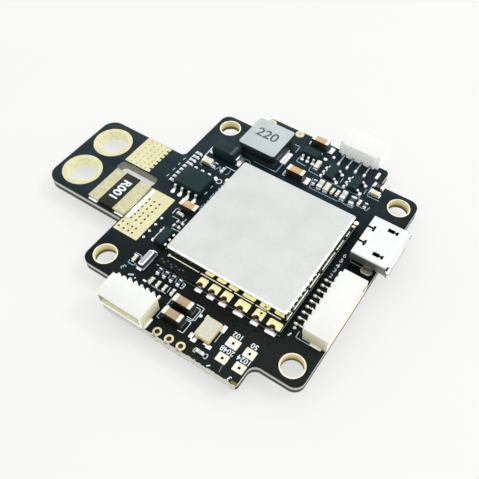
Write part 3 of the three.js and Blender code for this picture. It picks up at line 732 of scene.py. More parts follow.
def shield_can():
    """A folded can: tight round edges, mirror-bright walls, and a dark rod at each front corner, painted
    shade for the slit there.
    """
    x0, y0, z0, x1, y1, z1 = mm_box("vtx_shield_can")
    rect = (x0, y0, x1, y1)
    wall, corner, edge, steps = 0.2, 0.34, 0.16, 8
    rim = 0.3                       # corner radius of the top
    rings = [level(rect, 0, corner, z0, steps)]
    for k in range(6):
        a = math.pi / 2 * k / 5
        inset = edge * (1 - math.cos(a))
        rings.append(level(rect, inset, max(rim, corner - inset), z1 - edge * (1 - math.sin(a)), steps))
    rings.append(level(rect, edge + 0.13, rim, z1, steps))
    foot, inner = (level(rect, wall, corner - wall, z, steps) for z in (z0, z1 - edge))
    outside = loft(rings, cap_low=False)
    inside = loft([rings[0], foot, inner, level(rect, edge, rim, z1 - wall, steps)], cap_low=False)

    def pick(face):
        """The front and right edges carry a painted highlight. The other two are as matte as the top."""
        if face.normal.z < 0.4:
            return MIRROR_PAINTED_GOLD_TINT
        centre = face.calc_center_median()
        no_painted_highlight = centre.x < x0 + 0.35 or centre.y > y1 - 0.35
        return CAN if no_painted_highlight or len(face.verts) > 4 else PAINTED_HIGHLIGHT

    can = Piece("shield_can")
    can.add(outside, pick)
    can.add(inside, CAN)
    bmesh.ops.remove_doubles(can.bm, verts=can.bm.verts, dist=0.001)
    bmesh.ops.recalc_face_normals(can.bm, faces=can.bm.faces[:])
    # A dark rod at each front corner: painted shade for the slit there.
    for x in (x0 + 0.1, x1 - 0.1):
        can.add(disc(x, y0 + 0.1, 0.115, z0 + 0.02, z1 - 0.2, 16), HOLE_PAINTED_SHADE)
    can.done("bright_steel", "vtx_shield_can")

    # The bright bead of solder along the foot of the front and right walls, broken here and there; its
    # near-white colour is a painted highlight.
    bead = Piece("can_foot_solder")
    z, rise = z0 - 0.02, (0.03, 0.06)
    for x, end in broken(x0 + 0.3, x1 - 1.5, x1 - 0.3, (1.5, 7.0), (0.1, 0.4)):
        bead.add(block(x, y0 - 0.07, z, end, y0 + 0.02, z0 + rng.uniform(*rise), 0.01), PAINTED_HIGHLIGHT)
    for y, end in broken(y0 + 0.3, y1 - 2.0, y1 - 1.6, (1.0, 4.0), (0.2, 0.8)):
        bead.add(block(x1 + 0.01, y, z, x1 + 0.08, end, z0 + rng.uniform(*rise), 0.01), PAINTED_HIGHLIGHT)
    bead.done("tin")


# ---------------- chips with leads

SOIC_PITCH, SOT_PITCH, DISPLAY_PITCH, PROCESSOR_PITCH = 1.27, 0.95, 0.65, 0.5
SOIC_H, SOT_H = 1.5, 1.1
SOIC = (4.9, 3.9, 1.0, 0.4)         # body length and width, reach and width of a lead
SOT = (2.9, 1.6, 0.6, 0.4)
WIDE_SOIC = (9.7, 4.4, 1.0, 0.25)


def spread_row(count, pitch):
    return [(k - (count - 1) / 2) * pitch for k in range(count)]


def leaded_chip(name, node, x, y, turn, size, h, front, rear, under=False):
    """A moulded chip with gull-wing leads. front and rear are lead positions along its length."""
    chip = Piece(name)
    lx, ly, reach, wide = size
    half, mid, t = ly / 2, h / 2, 0.15
    where = {"x": x, "y": y, "z": UNDER - FILM if under else TOP + FILM, "turn": turn, "flip": under}
    for shape in moulded(around(0, 0, lx, ly), 0.06, 0.035, 0.12, mid, h, 0.1, 0.1):
        chip.add(placed(shape, **where), EPOXY)
    chip.add(placed(disc(-lx / 2 + 0.45, -half + 0.42, 0.2, h - 0.02, h + 0.004), **where), RESIN)
    bend = min(0.28, reach * 0.45)
    for side, places in ((-1, front), (1, rear)):
        path = [(half - 0.25, mid), (half + bend * 0.5, mid), (half + bend * 0.8, mid - 0.08),
                (half + bend * 1.25, t), (half + bend * 1.5, t / 2), (half + reach, t / 2)]
        for place in places:
            lead = strip(thick_line([(side * py, pz) for py, pz in path], t), wide, 0.02)
            chip.add(placed(placed(lead, place), **where), TIN)
            joint = dome(place, side * (half + reach * 0.86), wide * 1.7, reach * 0.6 + 0.3, 0.2, z=-FILM)
            chip.add(placed(joint, **where), SOLDER)
    chip.done("black_epoxy", node)


def top_chips():
    four = spread_row(4, SOIC_PITCH)
    leaded_chip("buck_chip", "buck_converter_chip", -12.7, 1.95, 0, SOIC, SOIC_H, four, four)
    three, two = spread_row(3, SOT_PITCH), spread_row(2, 2 * SOT_PITCH)
    leaded_chip("rf_regulator", "rf_supply_regulator", -0.95, 17.15, 0, SOT, SOT_H, three, two)
    for i, x in enumerate((3.7, 7.75), 1):
        leaded_chip(f"inverter_{i}", f"signal_inverter_{i}", x, 15.4, 90, SOT, SOT_H, two, three)
    leaded_chip("quiet_regulator", "low_noise_regulator", -9.95, -8.7, -90, SOT, SOT_H, two, three)


# ---------------- power parts


def inductor():
    """A squat coil: printed top plate, dark waist and flange, and wrap-under terminals."""
    x0, y0, z0, x1, y1, z1 = mm_box("inductor_core")
    rect = (x0, y0, x1, y1)
    coil = Piece("power_inductor")
    corner, steps = 0.45, 7
    under_plate = z1 - 0.85
    coil.add(stack(rect, corner, ((0.08, under_plate), (0.0, under_plate + 0.08), (0.0, z1 - 0.08),
                                  (0.02, z1 - 0.02), (0.06, z1)), steps),
             lambda face: FERRITE if face.normal.z > 0.3 else FERRITE_DARK)
    coil.add(stack(rect, corner, ((0.1, z0), (0.04, z0 + 0.05), (0.04, z0 + 0.5),
                                  (0.12, z0 + 0.72)), steps), FERRITE_DARK)
    coil.add(stack(rect, 0.8, ((0.18, z0 + 0.6), (0.12, z0 + 0.9), (0.1, (z0 + z1) / 2),
                               (0.1, under_plate + 0.02)), steps), RESIN)
    y = (y0 + y1) / 2
    for x, reach in ((x0, 0.3), (x1, 0.95)):
        coil.add(block(x - 0.2, y - 1.5, TOP + 0.01, x + 0.2, y + 1.5, z0 + 0.5), TIN)
        coil.add(block(x - 0.3, y - 1.35, TOP, x + reach, y + 1.35, TOP + 0.26, 0.08, 0.05), JOINT)
    coil.add(lettering("220", (x0 + x1) / 2 - 0.15, y + 0.3, 2.55, z1, weight=0.014), INK_GREY)
    coil.done("ferrite", "inductor_core", "inductor_resin", "inductor_winding")


def shunt():
    x0, y0, z0, x1, y1, z1 = mm_box("shunt_resistor")
    part = Piece("current_shunt")
    coat_low, coat_high = -22.3, -19.6      # where the black coat starts and ends in x
    part.add(block(x0, y0, z0, x1, y1, z1 - 0.1, 0.08), SHUNT_METAL)
    part.add(block(coat_low, y0 - 0.02, z0 + 0.02, coat_high, y1 + 0.02, z1, 0.09), BLACK_COAT_AND_PAINTED_SHADE)
    part.add(lettering("R001", (coat_low + coat_high) / 2, (y0 + y1) / 2, 1.95, z1, -90, 0.03), WHITE_INK_AND_HIGHLIGHT)
    part.add(dome(x0 + 0.95, y0 - 0.05, 1.8, 0.5, 0.25), SOLDER)
    part.add(dome(x1 - 0.95, y0 - 0.05, 1.7, 0.45, 0.2), SOLDER)
    part.add(block(x1 + 0.02, y0 + 0.1, TOP, x1 + 0.85, y1 - 0.2, TOP + 0.14, 0.05, 0.04), SOLDER)
    for x, y, size in ((-17.75, -7.9, 0.55), (-18.0, -8.9, 0.7), (-17.5, -9.0, 0.4)):
        part.add(dome(x, y, size, size * 0.7, 0.06), FLUX)
    part.done("tin", "shunt_resistor")


def diode():
    x0, y0, z0, x1, y1, z1 = mm_box("schottky_diode")
    part = Piece("schottky")
    mid = (z0 + z1) / 2
    body_low, body_high = x0 + 0.42, x1 - 0.42
    for shape in moulded((body_low, y0, body_high, y1), 0.1, 0.05, z0 + 0.12, mid, z1, 0.12, 0.16):
        part.add(shape, EPOXY)
    part.add(block(body_high - 0.95, y0 + 0.2, z1 - 0.02, body_high - 0.5, y1 - 0.2, z1 + 0.006, 0), SLATE)
    y, rise = (y0 + y1) / 2, mid - TOP
    path = [(-0.2, rise), (0.1, rise - 0.02), (0.17, rise - 0.15), (0.17, 0.2), (0.1, 0.1), (-0.6, 0.09)]
    for side, x in ((-1, body_low), (1, body_high)):
        lead = placed(strip(thick_line(path, 0.18), 1.45, 0.03), turn=-90 * side)
        part.add(placed(lead, x, y, TOP), TIN)
        x += side * 0.35
        part.add(block(x - 0.4, y - 0.9, TOP, x + 0.4, y + 0.9, TOP + 0.25, 0.08, 0.06), SOLDER)
    part.done("black_epoxy", "schottky_diode")


def chip_passive(piece, x, y, z, lx, ly, h, body, turn=0, end=0.25, ends=TERMINAL, fillet=0.0):
    """A chip resistor or capacitor that lies along X before it is turned, with its two solder fillets."""
    where = {"x": x, "y": y, "z": z, "turn": turn}
    r = min(0.05, ly * 0.1)
    thin = 0.02                     # the body is this much thinner than its ends
    piece.add(placed(block(thin - lx / 2, thin - ly / 2, thin, lx / 2 - thin, ly / 2 - thin, h - thin, r),
                     **where), body)
    for side in (-1, 1):
        inner, outer = sorted((side * (lx / 2 - end), side * lx / 2))
        piece.add(placed(block(inner, -ly / 2, 0, outer, ly / 2, h, r), **where), ends)
        if fillet:
            mid, half = side * (lx / 2 + fillet * 0.5), fillet * 0.7
            piece.add(placed(block(mid - half, -ly * 0.52, -0.03, mid + half, ly * 0.52, h * 0.45, r, 0.04),
                             **where), SOLDER)


def bulk_capacitors():
    """The large ceramic capacitors: tan bodies whose sides carry painted shade below their top, and pale end
    caps whose sides and foot joints carry painted shade too.
    """
    for i in range(1, 6):
        node = f"bulk_capacitor_{i}"
        x0, y0, z0, x1, y1, z1 = mm_box(node)
        part = Piece(f"ceramic_capacitor_{i}")
        glaze = TAN if i < 3 else ORANGE
        chip_passive(part, (x0 + x1) / 2, (y0 + y1) / 2, z0, x1 - x0, y1 - y0, z1 - z0,
                     lambda face: glaze if face.normal.z > 0.5 else CERAMIC_PAINTED_SHADE, end=0.55,
                     ends=lambda face: CAP_TOP if face.normal.z > 0.5 else CAP_TERMINAL_PAINTED_SHADE)
        for x in (x0 - 0.1, x1 + 0.1):
            part.add(block(x - 0.2, y0 - 0.03, TOP, x + 0.16, y1 + 0.03, TOP + 0.14, 0.05, 0.04), CAP_TERMINAL_PAINTED_SHADE)
        if i in (3, 4):
            part.add(block(x1 + 0.02, y0 - 0.05, TOP, x1 + 0.95, y1 + 0.1, TOP + 0.1, 0.04), JOINT)
            part.add(block(x0 - 0.4, y0 - 0.02, TOP, x0 - 0.02, y1, TOP + 0.1, 0.04), JOINT)
        part.done("tan_ceramic", node)


def crystals():
    x0, y0, z0, x1, y1, z1 = mm_box("main_crystal")
    part = Piece("main_oscillator")
    rect, steps, corner = (x0, y0, x1, y1), 6, 0.3
    part.add(block(x0 + 0.04, y0 + 0.04, z0, x1 - 0.04, y1 - 0.04, z0 + 0.2), BROWN)
    part.add(stack(rect, corner, ((0.05, z0 + 0.18), (0.0, z0 + 0.25), (0.0, z1 - 0.16),
                                  (0.06, z1 - 0.08)), steps), RICH_GOLD)
    part.add(stack(rect, corner, ((0.08, z1 - 0.1), (0.08, z1 - 0.03), (0.11, z1)), steps), BEIGE_LID)
    for a, b, c, d in ((-0.55, -0.5, 0.3, 0.35), (-0.05, -0.75, 0.75, 0.1), (2.15, -0.5, 2.95, 0.1),
                           (1.65, -0.3, 2.2, 0.1), (2.4, 2.35, 3.05, 3.5), (-0.3, 2.65, 0.1, 3.5)):
        part.add(block(x0 + a, y0 + b, TOP, x0 + c, y0 + d, TOP + 0.14, 0.05, 0.03), SOLDER)
    part.done("gold", "main_crystal")

    x0, y0, z0, x1, y1, z1 = mm_box("watch_crystal")
    part = Piece("watch_oscillator")
    part.add(block(x0, y0, z0, x1, y1, z0 + 0.4, 0.06),
             lambda face: GLAZE if face.normal.z > 0.5 else WHITE_INK_AND_HIGHLIGHT)
    rect = (x0 + 0.275, y0 + 0.2, x1 - 0.275, y1 - 0.2)
    # The lid's sloped rim carries a painted highlight.
    part.add(stack(rect, corner, ((0.0, z0 + 0.38), (0.0, z1 - 0.14), (0.06, z1 - 0.04),
                                  (0.14, z1)), steps),
             lambda face: PAINTED_HIGHLIGHT if 0.3 < face.normal.z < 0.95 else LID)
    x = (x0 + x1) / 2
    for y in (y0, y1):
        part.add(block(x - 0.45, y - 0.3, TOP, x + 0.45, y + 0.3, TOP + 0.16, 0.06, 0.04), SOLDER)
    part.done("bright_steel", "watch_crystal")


# ---------------- headers and the USB socket


def headers():
    """Side-entry headers: nylon bodies, tinned contacts and a small round joint at each foot."""
    rows = (("left_connector", 6, 180), ("right_connector", 9, -90), ("rear_connector", 4, 0))
    for name, pins, turn in rows:
        out = Matrix.Rotation(math.radians(turn), 3, "Z") @ Vector((0, -1, 0))
        along_x = abs(out.x) > 0.5
        rear = name == "rear_connector"
        low, high = corners(f"{name}_housing")
        middle = (low + high) / 2
        depth = abs(out.dot(high - middle))

        # Each face gets the nylon or a lit or shaded copy of it, by where it sits. Painted light goes on the
        # faces at the contacts' end, on faces turned the other way and on the rear header's sides. Inside,
        # floors are painted brighter and the rest gets painted shade, and the other sides get a yellow
        # painted shade.
        def pick(face):
            centre = face.calc_center_median()
            if face.normal.z > 0.3 and centre.z > high.z - 0.3:
                return NYLON
            if out.dot(centre - middle) > depth - 0.55 or face.normal.dot(out) < -0.7:
                return NYLON_LIT
            if all(a + 0.2 < c < b - 0.2 for a, c, b in zip(low, centre, high)):
                return NYLON_FLOOR_PAINTED_LIGHT if face.normal.z > 0.5 else NYLON_PAINTED_SHADE
            if face.normal.y > 0.5:
                return NYLON
            return NYLON_LIT if rear else NYLON_SIDE_PAINTED_SHADE

        housing = Piece(f"{name}_body")
        housing.add(from_node(f"{name}_housing", 0.06), pick)
        housing.done("ivory_nylon", f"{name}_housing")
        contacts = Piece(f"{name}_pins")
        joints = Piece(f"{name}_joints")
        nodes = [f"{name}_contact_{i}" for i in range(1, pins + 1)]
        for node in nodes:
            # The rear header's contacts get the dark copy of the tin, painted shade.
            contacts.add(from_node(node, 0.03, 1), TIN_PAINTED_SHADE if rear else TIN)
            pin_low, pin_high = corners(node)
            centre, reach = (pin_low + pin_high) / 2, (pin_high - pin_low) / 2
            joints.add(dome(centre.x + out.x * (reach.x - 0.35), centre.y + out.y * (reach.y - 0.35),
                            *((0.62, 0.38) if along_x else (0.42, 0.8)), 0.32), JOINT)
        contacts.done("tin", *nodes)

        # The two lugs that hold the housing down end in long flat joints at its sides.
        for side, end in ((-1, low), (1, high)):
            if along_x:
                x, y, lx, ly = high.x - 1.5, end.y + side * 0.1, 1.7, 0.42
            else:
                x, y, lx, ly = end.x + side * 0.1, middle.y - out.y * 0.9, 0.42, 1.7
            if abs(y) < MID_REAR:
                joints.add(dome(x, y, lx, ly, 0.2, power=0.25), JOINT)
        joints.done("tin")


def usb_socket():
    shell = Piece("usb_socket_shell")
    low, high = USB_LOW, USB_HIGH

    # Inside the shell the steel is painted black as shade, and below its lit top the sides get a dark copy of
    # the steel, painted shade.
    def pick(face):
        centre = face.calc_center_median()
        if low.y + 0.2 < centre.y < high.y - 0.2 and TOP + 0.1 < centre.z < high.z - 0.1:
            return BLACK_COAT_AND_PAINTED_SHADE
        return STEEL if face.normal.z > 0.3 else STEEL_PAINTED_SHADE

    shell.add(from_node("usb_shell", 0.06), pick)

    # The four sides of the mouth flare outwards, each by its last two numbers.
    for y0, y1, z0, z1, shift_y, shift_z in (
            (low.y + 0.5, high.y - 0.5, high.z - 0.27, high.z - 0.03, 0.0, 0.22),
            (low.y + 1.1, high.y - 1.1, TOP + 0.03, TOP + 0.27, 0.0, -0.25),
            (low.y + 0.03, low.y + 0.27, TOP + 0.9, high.z - 0.6, -0.3, 0.0),
            (high.y - 0.27, high.y - 0.03, TOP + 0.9, high.z - 0.6, 0.3, 0.0)):
        rings = [[(high.x + x, y + k * shift_y, z + k * shift_z)
                  for y, z in ((y0, z0), (y1, z0), (y1, z1), (y0, z1))]
                 for x, k in ((-0.1, 0.0), (0.08, 0.2), (0.45, 1.0))]
        shell.add(rounded(loft(rings), 0.03, 1), STEEL)
    shell.done("bright_steel", "usb_shell")
    core = Piece("usb_socket_core")
    core.add(from_node("usb_insulator", 0.03, 1), EPOXY)
    core.done("black_epoxy", "usb_insulator")
    contacts = Piece("usb_socket_pins")
    names = [f"usb_contact_{i}" for i in range(1, 6)]
    for name in names:
        contacts.add(from_node(name), GOLD)
        low, high = corners(name)
        contacts.add(dome(low.x + 0.15, (low.y + high.y) / 2, 0.6, 0.4, 0.16), SOLDER)
    contacts.done("gold", *names)


# ---------------- small parts


def small_parts():
    """Chip resistors and ceramic capacitors, by length, width, height and body, as (x, y, turn)."""
    def amber_sided(face):
        return CREAM if face.normal.z > 0.5 else ORANGE

    resistors, capacitors = Piece("chip_resistors"), Piece("chip_capacitors")
    for piece, lx, ly, h, body, places in (
            (resistors, 1.0, 0.5, 0.36, SLATE,
             [(-7.1, -13.42, 90), (-6.0, -13.42, 90), (-4.85, -13.42, 90), (-3.7, -13.42, 90),
              (2.3, 12.5, 90), (10.95, 12.7, 90), (-12.3, 6.9, 90), (-9.85, -5.23, 0), (-9.9, -6.06, 0)]),
            (resistors, 1.0, 0.5, 0.36, ALUMINA,
             [*((-15.9, 0.75 + 0.84 * k, 0) for k in range(9)), (-10.75, 6.75, 90), (4.7, -20.15, 0)]),
            (resistors, 1.6, 0.8, 0.46, SLATE, [(8.9, 12.45, 90), (10.9, 17.2, 0)]),
            (capacitors, 1.0, 0.5, 0.45, CREAM,
             [(5.5, 12.5, 90), (6.35, 12.5, 90), (9.95, 12.65, 90), (-11.25, -13.6, 90), (-10.85, -3.95, 0)]),
            (capacitors, 0.9, 0.42, 0.36, CREAM,
             [(-7.0, -15.2, 90), (-5.9, -15.2, 90), (-4.8, -15.2, 90), (-3.5, -15.1, 90)]),
            (capacitors, 1.6, 0.8, 0.75, CREAM, [(4.5, 12.45, 90), (1.0, 15.7, 90), (11.1, 15.5, 0)]),
            (capacitors, 1.6, 0.8, 0.7, ALUMINA, [(3.4, 12.45, 90), (7.4, 12.45, 90)]),
            (capacitors, 1.7, 1.1, 0.75, amber_sided, [(-13.65, 6.8, 0)])):
        for x, y, turn in places:
            chip_passive(piece, x, y, TOP + 0.03, lx, ly, h * rng.uniform(0.92, 1.05), body,
                         turn + rng.uniform(-2.5, 2.5), end=lx * 0.24, fillet=0.14)
    for x, y, lx, ly in ((1.2, 17.85, 0.75, 0.55), (2.15, 18.95, 0.55, 0.55), (9.75, 19.35, 0.5, 1.5),
                         (10.3, 17.5, 0.7, 0.5), (-7.86, -15.7, 0.6, 0.3)):
        resistors.add(dome(x, y, lx, ly, 0.2), JOINT)
    resistors.done("black_epoxy")
    capacitors.done("tan_ceramic")


# ---------------- pads and legends

SIGNAL_PADS = [(7.43, -16.8, 1.75, 1.4), (9.98, -16.85, 1.6, 1.35), (7.43, -19.2, 1.55, 1.3),
               (9.93, -19.15, 1.55, 1.3)]


def gold_pads():
    pads = Piece("gold_pads")

    def vias(xs, ys, r, floor):
        z = TOP + PAD_H
        for x in xs:
            for y in ys:
                pads.add(lathe([(r, z - 0.01), (r, z + 0.02), (r + 0.08, z + 0.02), (r + 0.12, z - 0.01)],
                               x, y, 16), GOLD)
                pads.add(disc(x, y, r, z - 0.01, z + 0.004, 16), floor)

    pads.add(pad(-22.7, 3.05, 4.3, 5.9, r=0.15), GOLD)
    for k in range(7):
        pads.add(pad(-20.45, 0.42 + 0.87 * k, 0.7, 0.6, h=PAD_H - 0.008, r=0.15), GOLD)
    vias((-23.8, -22.8, -21.9, -21.05), [0.5 + 0.85 * k for k in range(7)], 0.14, VIA_GOLD)
    pads.add(pad(-15.35, -6.62, 4.3, 9.05, r=0.15), GOLD)
    vias((-16.45, -15.55, -14.6), (-4.1, -4.95, -5.8, -6.7, -7.5, -8.3), 0.17, VIA_DARK)
    vias((-17.0, -16.1, -15.25, -14.55), (-9.5, -10.4), 0.17, VIA_DARK)
    for x, y, size in ((-5.05, 20.5, 1.5), (-10.2, 20.3, 1.3)):
        pads.add(pad(x, y, size, size, r=size / 2), GOLD)
        vias([x], [y], 0.2, VIA_GOLD)
    for x, y, lx, ly in SIGNAL_PADS:
        pads.add(pad(x, y, lx, ly, h=0.05, r=0.1), CREAM_GOLD)
        pads.add(disc(x, y, 0.2, TOP, TOP + 0.056), HOLE_PAINTED_SHADE)
    for x, y in ((2.1, -13.75), (2.9, -13.95), (4.3, -13.9), (7.3, -13.7), (8.8, -13.7), (-0.9, -14.6),
                 (6.1, -14.7), (9.6, -15.6), (11.2, -14.3)):
        pads.add(pad(x, y, 0.34, 0.34, h=0.006, r=0.17), HOLE_PAINTED_SHADE)
    pads.add(pad(10.5, MID_FRONT + 0.25, 0.9, 0.35, r=0.1), AMBER)
    pads.add(pad(-9.1, 5.5, 0.55, 0.7, h=0.05, r=0.1), CREAM_GOLD)
    pads.done("gold")


def legends():
    """White printed marks and plain numerals."""
    ink = Piece("white_legends")

    def path(width, paint, *points):
        for (x0, y0), (x1, y1) in zip(points, points[1:]):
            along = Vector((x1 - x0, y1 - y0))
            mark = pad(0, 0, along.length + width, width, 0, SILK_H, width / 2)
            turn = math.degrees(math.atan2(along.y, along.x))
            ink.add(placed(mark, (x0 + x1) / 2, (y0 + y1) / 2, TOP, turn), paint)

    # Brackets around small parts, as x, the two ends in y, and the reach and width of their arms.
    for x, y0, y1, arm, width in ((1.42, -16.9, -14.73, -1.2, 0.1), (1.12, -17.15, -15.12, -0.7, 0.1),
                                  (1.22, -19.15, -17.35, -0.8, 0.1), (-3.05, -16.95, -15.15, 0.4, 0.1),
                                  (-3.05, -19.1, -17.3, 0.4, 0.1), (3.8, -20.45, -19.85, 0.3, 0.1),
                                  (5.75, -20.45, -19.85, -0.3, 0.1), (-2.75, 11.3, 12.5, 0.4, 0.13)):
        path(width, WHITE_INK_AND_HIGHLIGHT, (x + arm, y0), (x, y0), (x, y1), (x + arm, y1))

    # Around the crystals of the front edge.
    path(0.16, WHITE_INK_AND_HIGHLIGHT, (6.45, -21.1), (6.7, -20.85))
    path(0.08, WHITE_INK_AND_HIGHLIGHT, (5.35, -17.9), (5.35, -16.4))
    path(0.08, INK_MID_AND_EDGE_HIGHLIGHT, (8.15, -20.9), (8.0, -19.9))
    path(0.13, INK_BLUE, (-11.85, -13.1), (-11.85, -12.72), (-10.75, -12.72), (-10.75, -13.1))
    path(0.13, INK_BLUE, (-11.75, -14.2), (-11.75, -14.58), (-10.75, -14.58), (-10.75, -14.2))
    path(0.3, INK_BLUE, (-10.3, -16.05), (-9.8, -15.8))

    # The outlines of the two rows of small parts beside the module.
    for x in (-7.1, -6.0, -4.85, -3.7):
        path(0.13, INK_BLUE, (x - 0.35, -13.1), (x + 0.3, -12.98), (x + 0.5, -13.15), (x + 0.5, -13.55))
    path(0.13, WHITE_INK_AND_HIGHLIGHT, (-3.15, -13.1), (-2.9, -13.1), (-2.9, -13.9), (-3.2, -13.9))
    path(0.13, INK_BLUE, (-7.4, -14.6), (-7.5, -15.0), (-7.45, -15.6))
    path(0.13, INK_BLUE, (-6.6, -15.75), (-5.4, -15.8), (-4.3, -15.7))
    path(0.13, INK_BLUE, (-4.3, -14.6), (-4.2, -15.4))

    # The power corner and the inductor.
    path(0.18, WHITE_INK_AND_HIGHLIGHT, (-15.15, 11.45), (-15.0, 7.6))
    path(0.1, INK_BLUE, (-15.0, 7.6), (-14.7, 6.0), (-14.2, 5.9))
    path(0.13, WHITE_INK_AND_HIGHLIGHT, (-10.25, 2.8), (-10.25, 3.3))
    path(0.13, WHITE_INK_AND_HIGHLIGHT, (-10.25, 1.3), (-10.25, 1.8))
    path(0.12, WHITE_INK_AND_HIGHLIGHT, (-10.9, 7.75), (-9.1, 7.75))
    path(0.09, INK_BLUE, (-9.85, 7.5), (-9.75, 6.5), (-10.1, 6.3))
    path(0.14, INK_BLUE, (-12.0, 6.3), (-11.6, 7.3), (-11.2, 6.4), (-11.0, 7.4))
    path(0.13, INK_BLUE, (-10.3, 10.7), (-8.6, 10.85), (-8.0, 10.3), (-8.1, 9.6))
    path(0.1, INK_MID_AND_EDGE_HIGHLIGHT, (-8.0, 11.15), (-4.7, 11.15))
    path(0.13, INK_BLUE, (-4.7, 11.15), (-3.85, 11.15), (-3.85, 13.25))
    path(0.13, INK_BLUE, (-4.5, 18.0), (-3.55, 18.0), (-3.5, 16.6))
    path(0.13, INK_BLUE, (-2.4, 16.2), (-2.45, 15.0), (-0.7, 14.85))

    # The rear row and its two inverters.
    path(0.1, INK_BLUE, (2.5, 14.05), (9.4, 14.05), (9.4, 13.45), (8.2, 13.4))
    path(0.1, INK_BLUE, (1.6, 13.3), (2.1, 11.3), (6.9, 11.3), (7.3, 11.5), (9.3, 11.3), (9.5, 11.9))
    path(0.12, INK_BLUE, (10.3, 12.2), (11.4, 12.05), (11.6, 12.9))
    for x in (5.5, 9.6):
        path(0.12, INK_BLUE, (x, 14.9), (x, 15.9))
    path(0.12, INK_BLUE, (0.1, 15.3), (0.2, 14.3), (1.9, 14.2))
    path(0.13, INK_BLUE, (10.0, 18.1), (10.0, 16.4), (10.2, 14.8), (12.1, 14.8))

    # The tab's corner and the left edge.
    path(0.13, WHITE_INK_AND_HIGHLIGHT, (-11.4, -9.6), (-11.4, -7.0))
    path(0.11, WHITE_INK_AND_HIGHLIGHT, (-12.0, -4.3), (-12.05, -3.2), (-11.4, -3.2))
    path(0.11, WHITE_INK_AND_HIGHLIGHT, (-10.0, -4.9), (-9.6, -4.6), (-9.65, -4.1))
    path(0.1, INK_BLUE, (-11.7, -4.75), (-10.6, -4.7))
    path(0.11, WHITE_INK_AND_HIGHLIGHT, (-10.4, -6.55), (-9.0, -6.45))
    for y in (-5.9, -7.3, -8.7, -10.0):
        ink.add(placed(pad(0, 0, 0.36, 0.36, 0, SILK_H, 0.04), -12.75, y, TOP, 45), WHITE_INK_AND_HIGHLIGHT)
    for y in (5.5, 4.15, 2.8, 1.3):
        path(0.16, INK_BLUE, (-17.3, y - 0.22), (-17.25, y + 0.22))

    # The right header and the USB socket, and a line of small print beside the module.
    path(0.13, INK_BLUE, (13.5, -10.7), (13.55, -11.65), (15.6, -11.65))
    path(0.1, INK_BLUE, (13.7, 3.3), (13.85, 2.65), (15.5, 2.65))
    path(0.2, WHITE_INK_AND_HIGHLIGHT, (12.6, -11.9), (12.75, -11.5))
    for y, end in broken(-1.5, 4.7, math.inf, (0.15, 0.5), (0.25, 0.5)):
        x = -9.15 + rng.uniform(-0.08, 0.08)
        path(0.2, INK_BLUE, (x, y), (x, end))
    for x, y, r in ((1.65, -15.85, 0.24), (12.72, -10.55, 0.22), (-9.25, -16.05, 0.12)):
        ink.add(pad(x, y, 2 * r, 2 * r, h=SILK_H, r=r), WHITE_INK_AND_HIGHLIGHT)
    z0, z1 = TOP - 0.01, TOP + SILK_H
    ink.add(lathe([(0.36, z0), (0.36, z1), (0.48, z1), (0.48, z0)], -10.0, 4.6, 24), WHITE_INK_AND_HIGHLIGHT)
    for number, (x, y, _, ly) in zip(("102", "50", "2048", "1024"), SIGNAL_PADS):
        ink.add(lettering(number, x - 0.05, y + ly / 2 + 0.55, 1.02, turn=180), WHITE_INK_AND_HIGHLIGHT)
    for number, y in ((6, 3.05), (5, 2.05), (4, 1.05), (3, 0.1), (2, -0.95)):
        ink.add(lettering(str(number), 12.72, y, 1.0), WHITE_INK_AND_HIGHLIGHT if number > 3 else INK_BLUE)
    ink.add(lettering("3", 9.7, -20.9, 0.85, turn=160), WHITE_INK_AND_HIGHLIGHT)
    ink.add(lettering("3", -11.75, -15.45, 1.1, turn=150), INK_BLUE)
    ink.done("solder_mask")


# ---------------- underside and hidden chips


def plain_chip(name, node, material):
    """A chip that is a plain moulded block or a lidded can. A sensor has a port underneath."""
    x0, y0, z0, x1, y1, z1 = mm_box(node)
    part = Piece(name)
    part.add(block(x0, y0, z0, x1, y1, z1, 0.06), material)
    if "sensor" in node:
        part.add(disc((x0 + x1) / 2 + 0.7, (y0 + y1) / 2 + 0.5, 0.16, z0 - 0.003, z0 + 0.03), RESIN)
    part.done("black_epoxy" if material is EPOXY else "bright_steel", node)


def module_chips():
    plain_chip("rf_chip", "vtx_rf_chip", EPOXY)
    plain_chip("amplifier_chip", "vtx_power_amplifier", EPOXY)
    plain_chip("reference_crystal", "vtx_reference_crystal", LID)


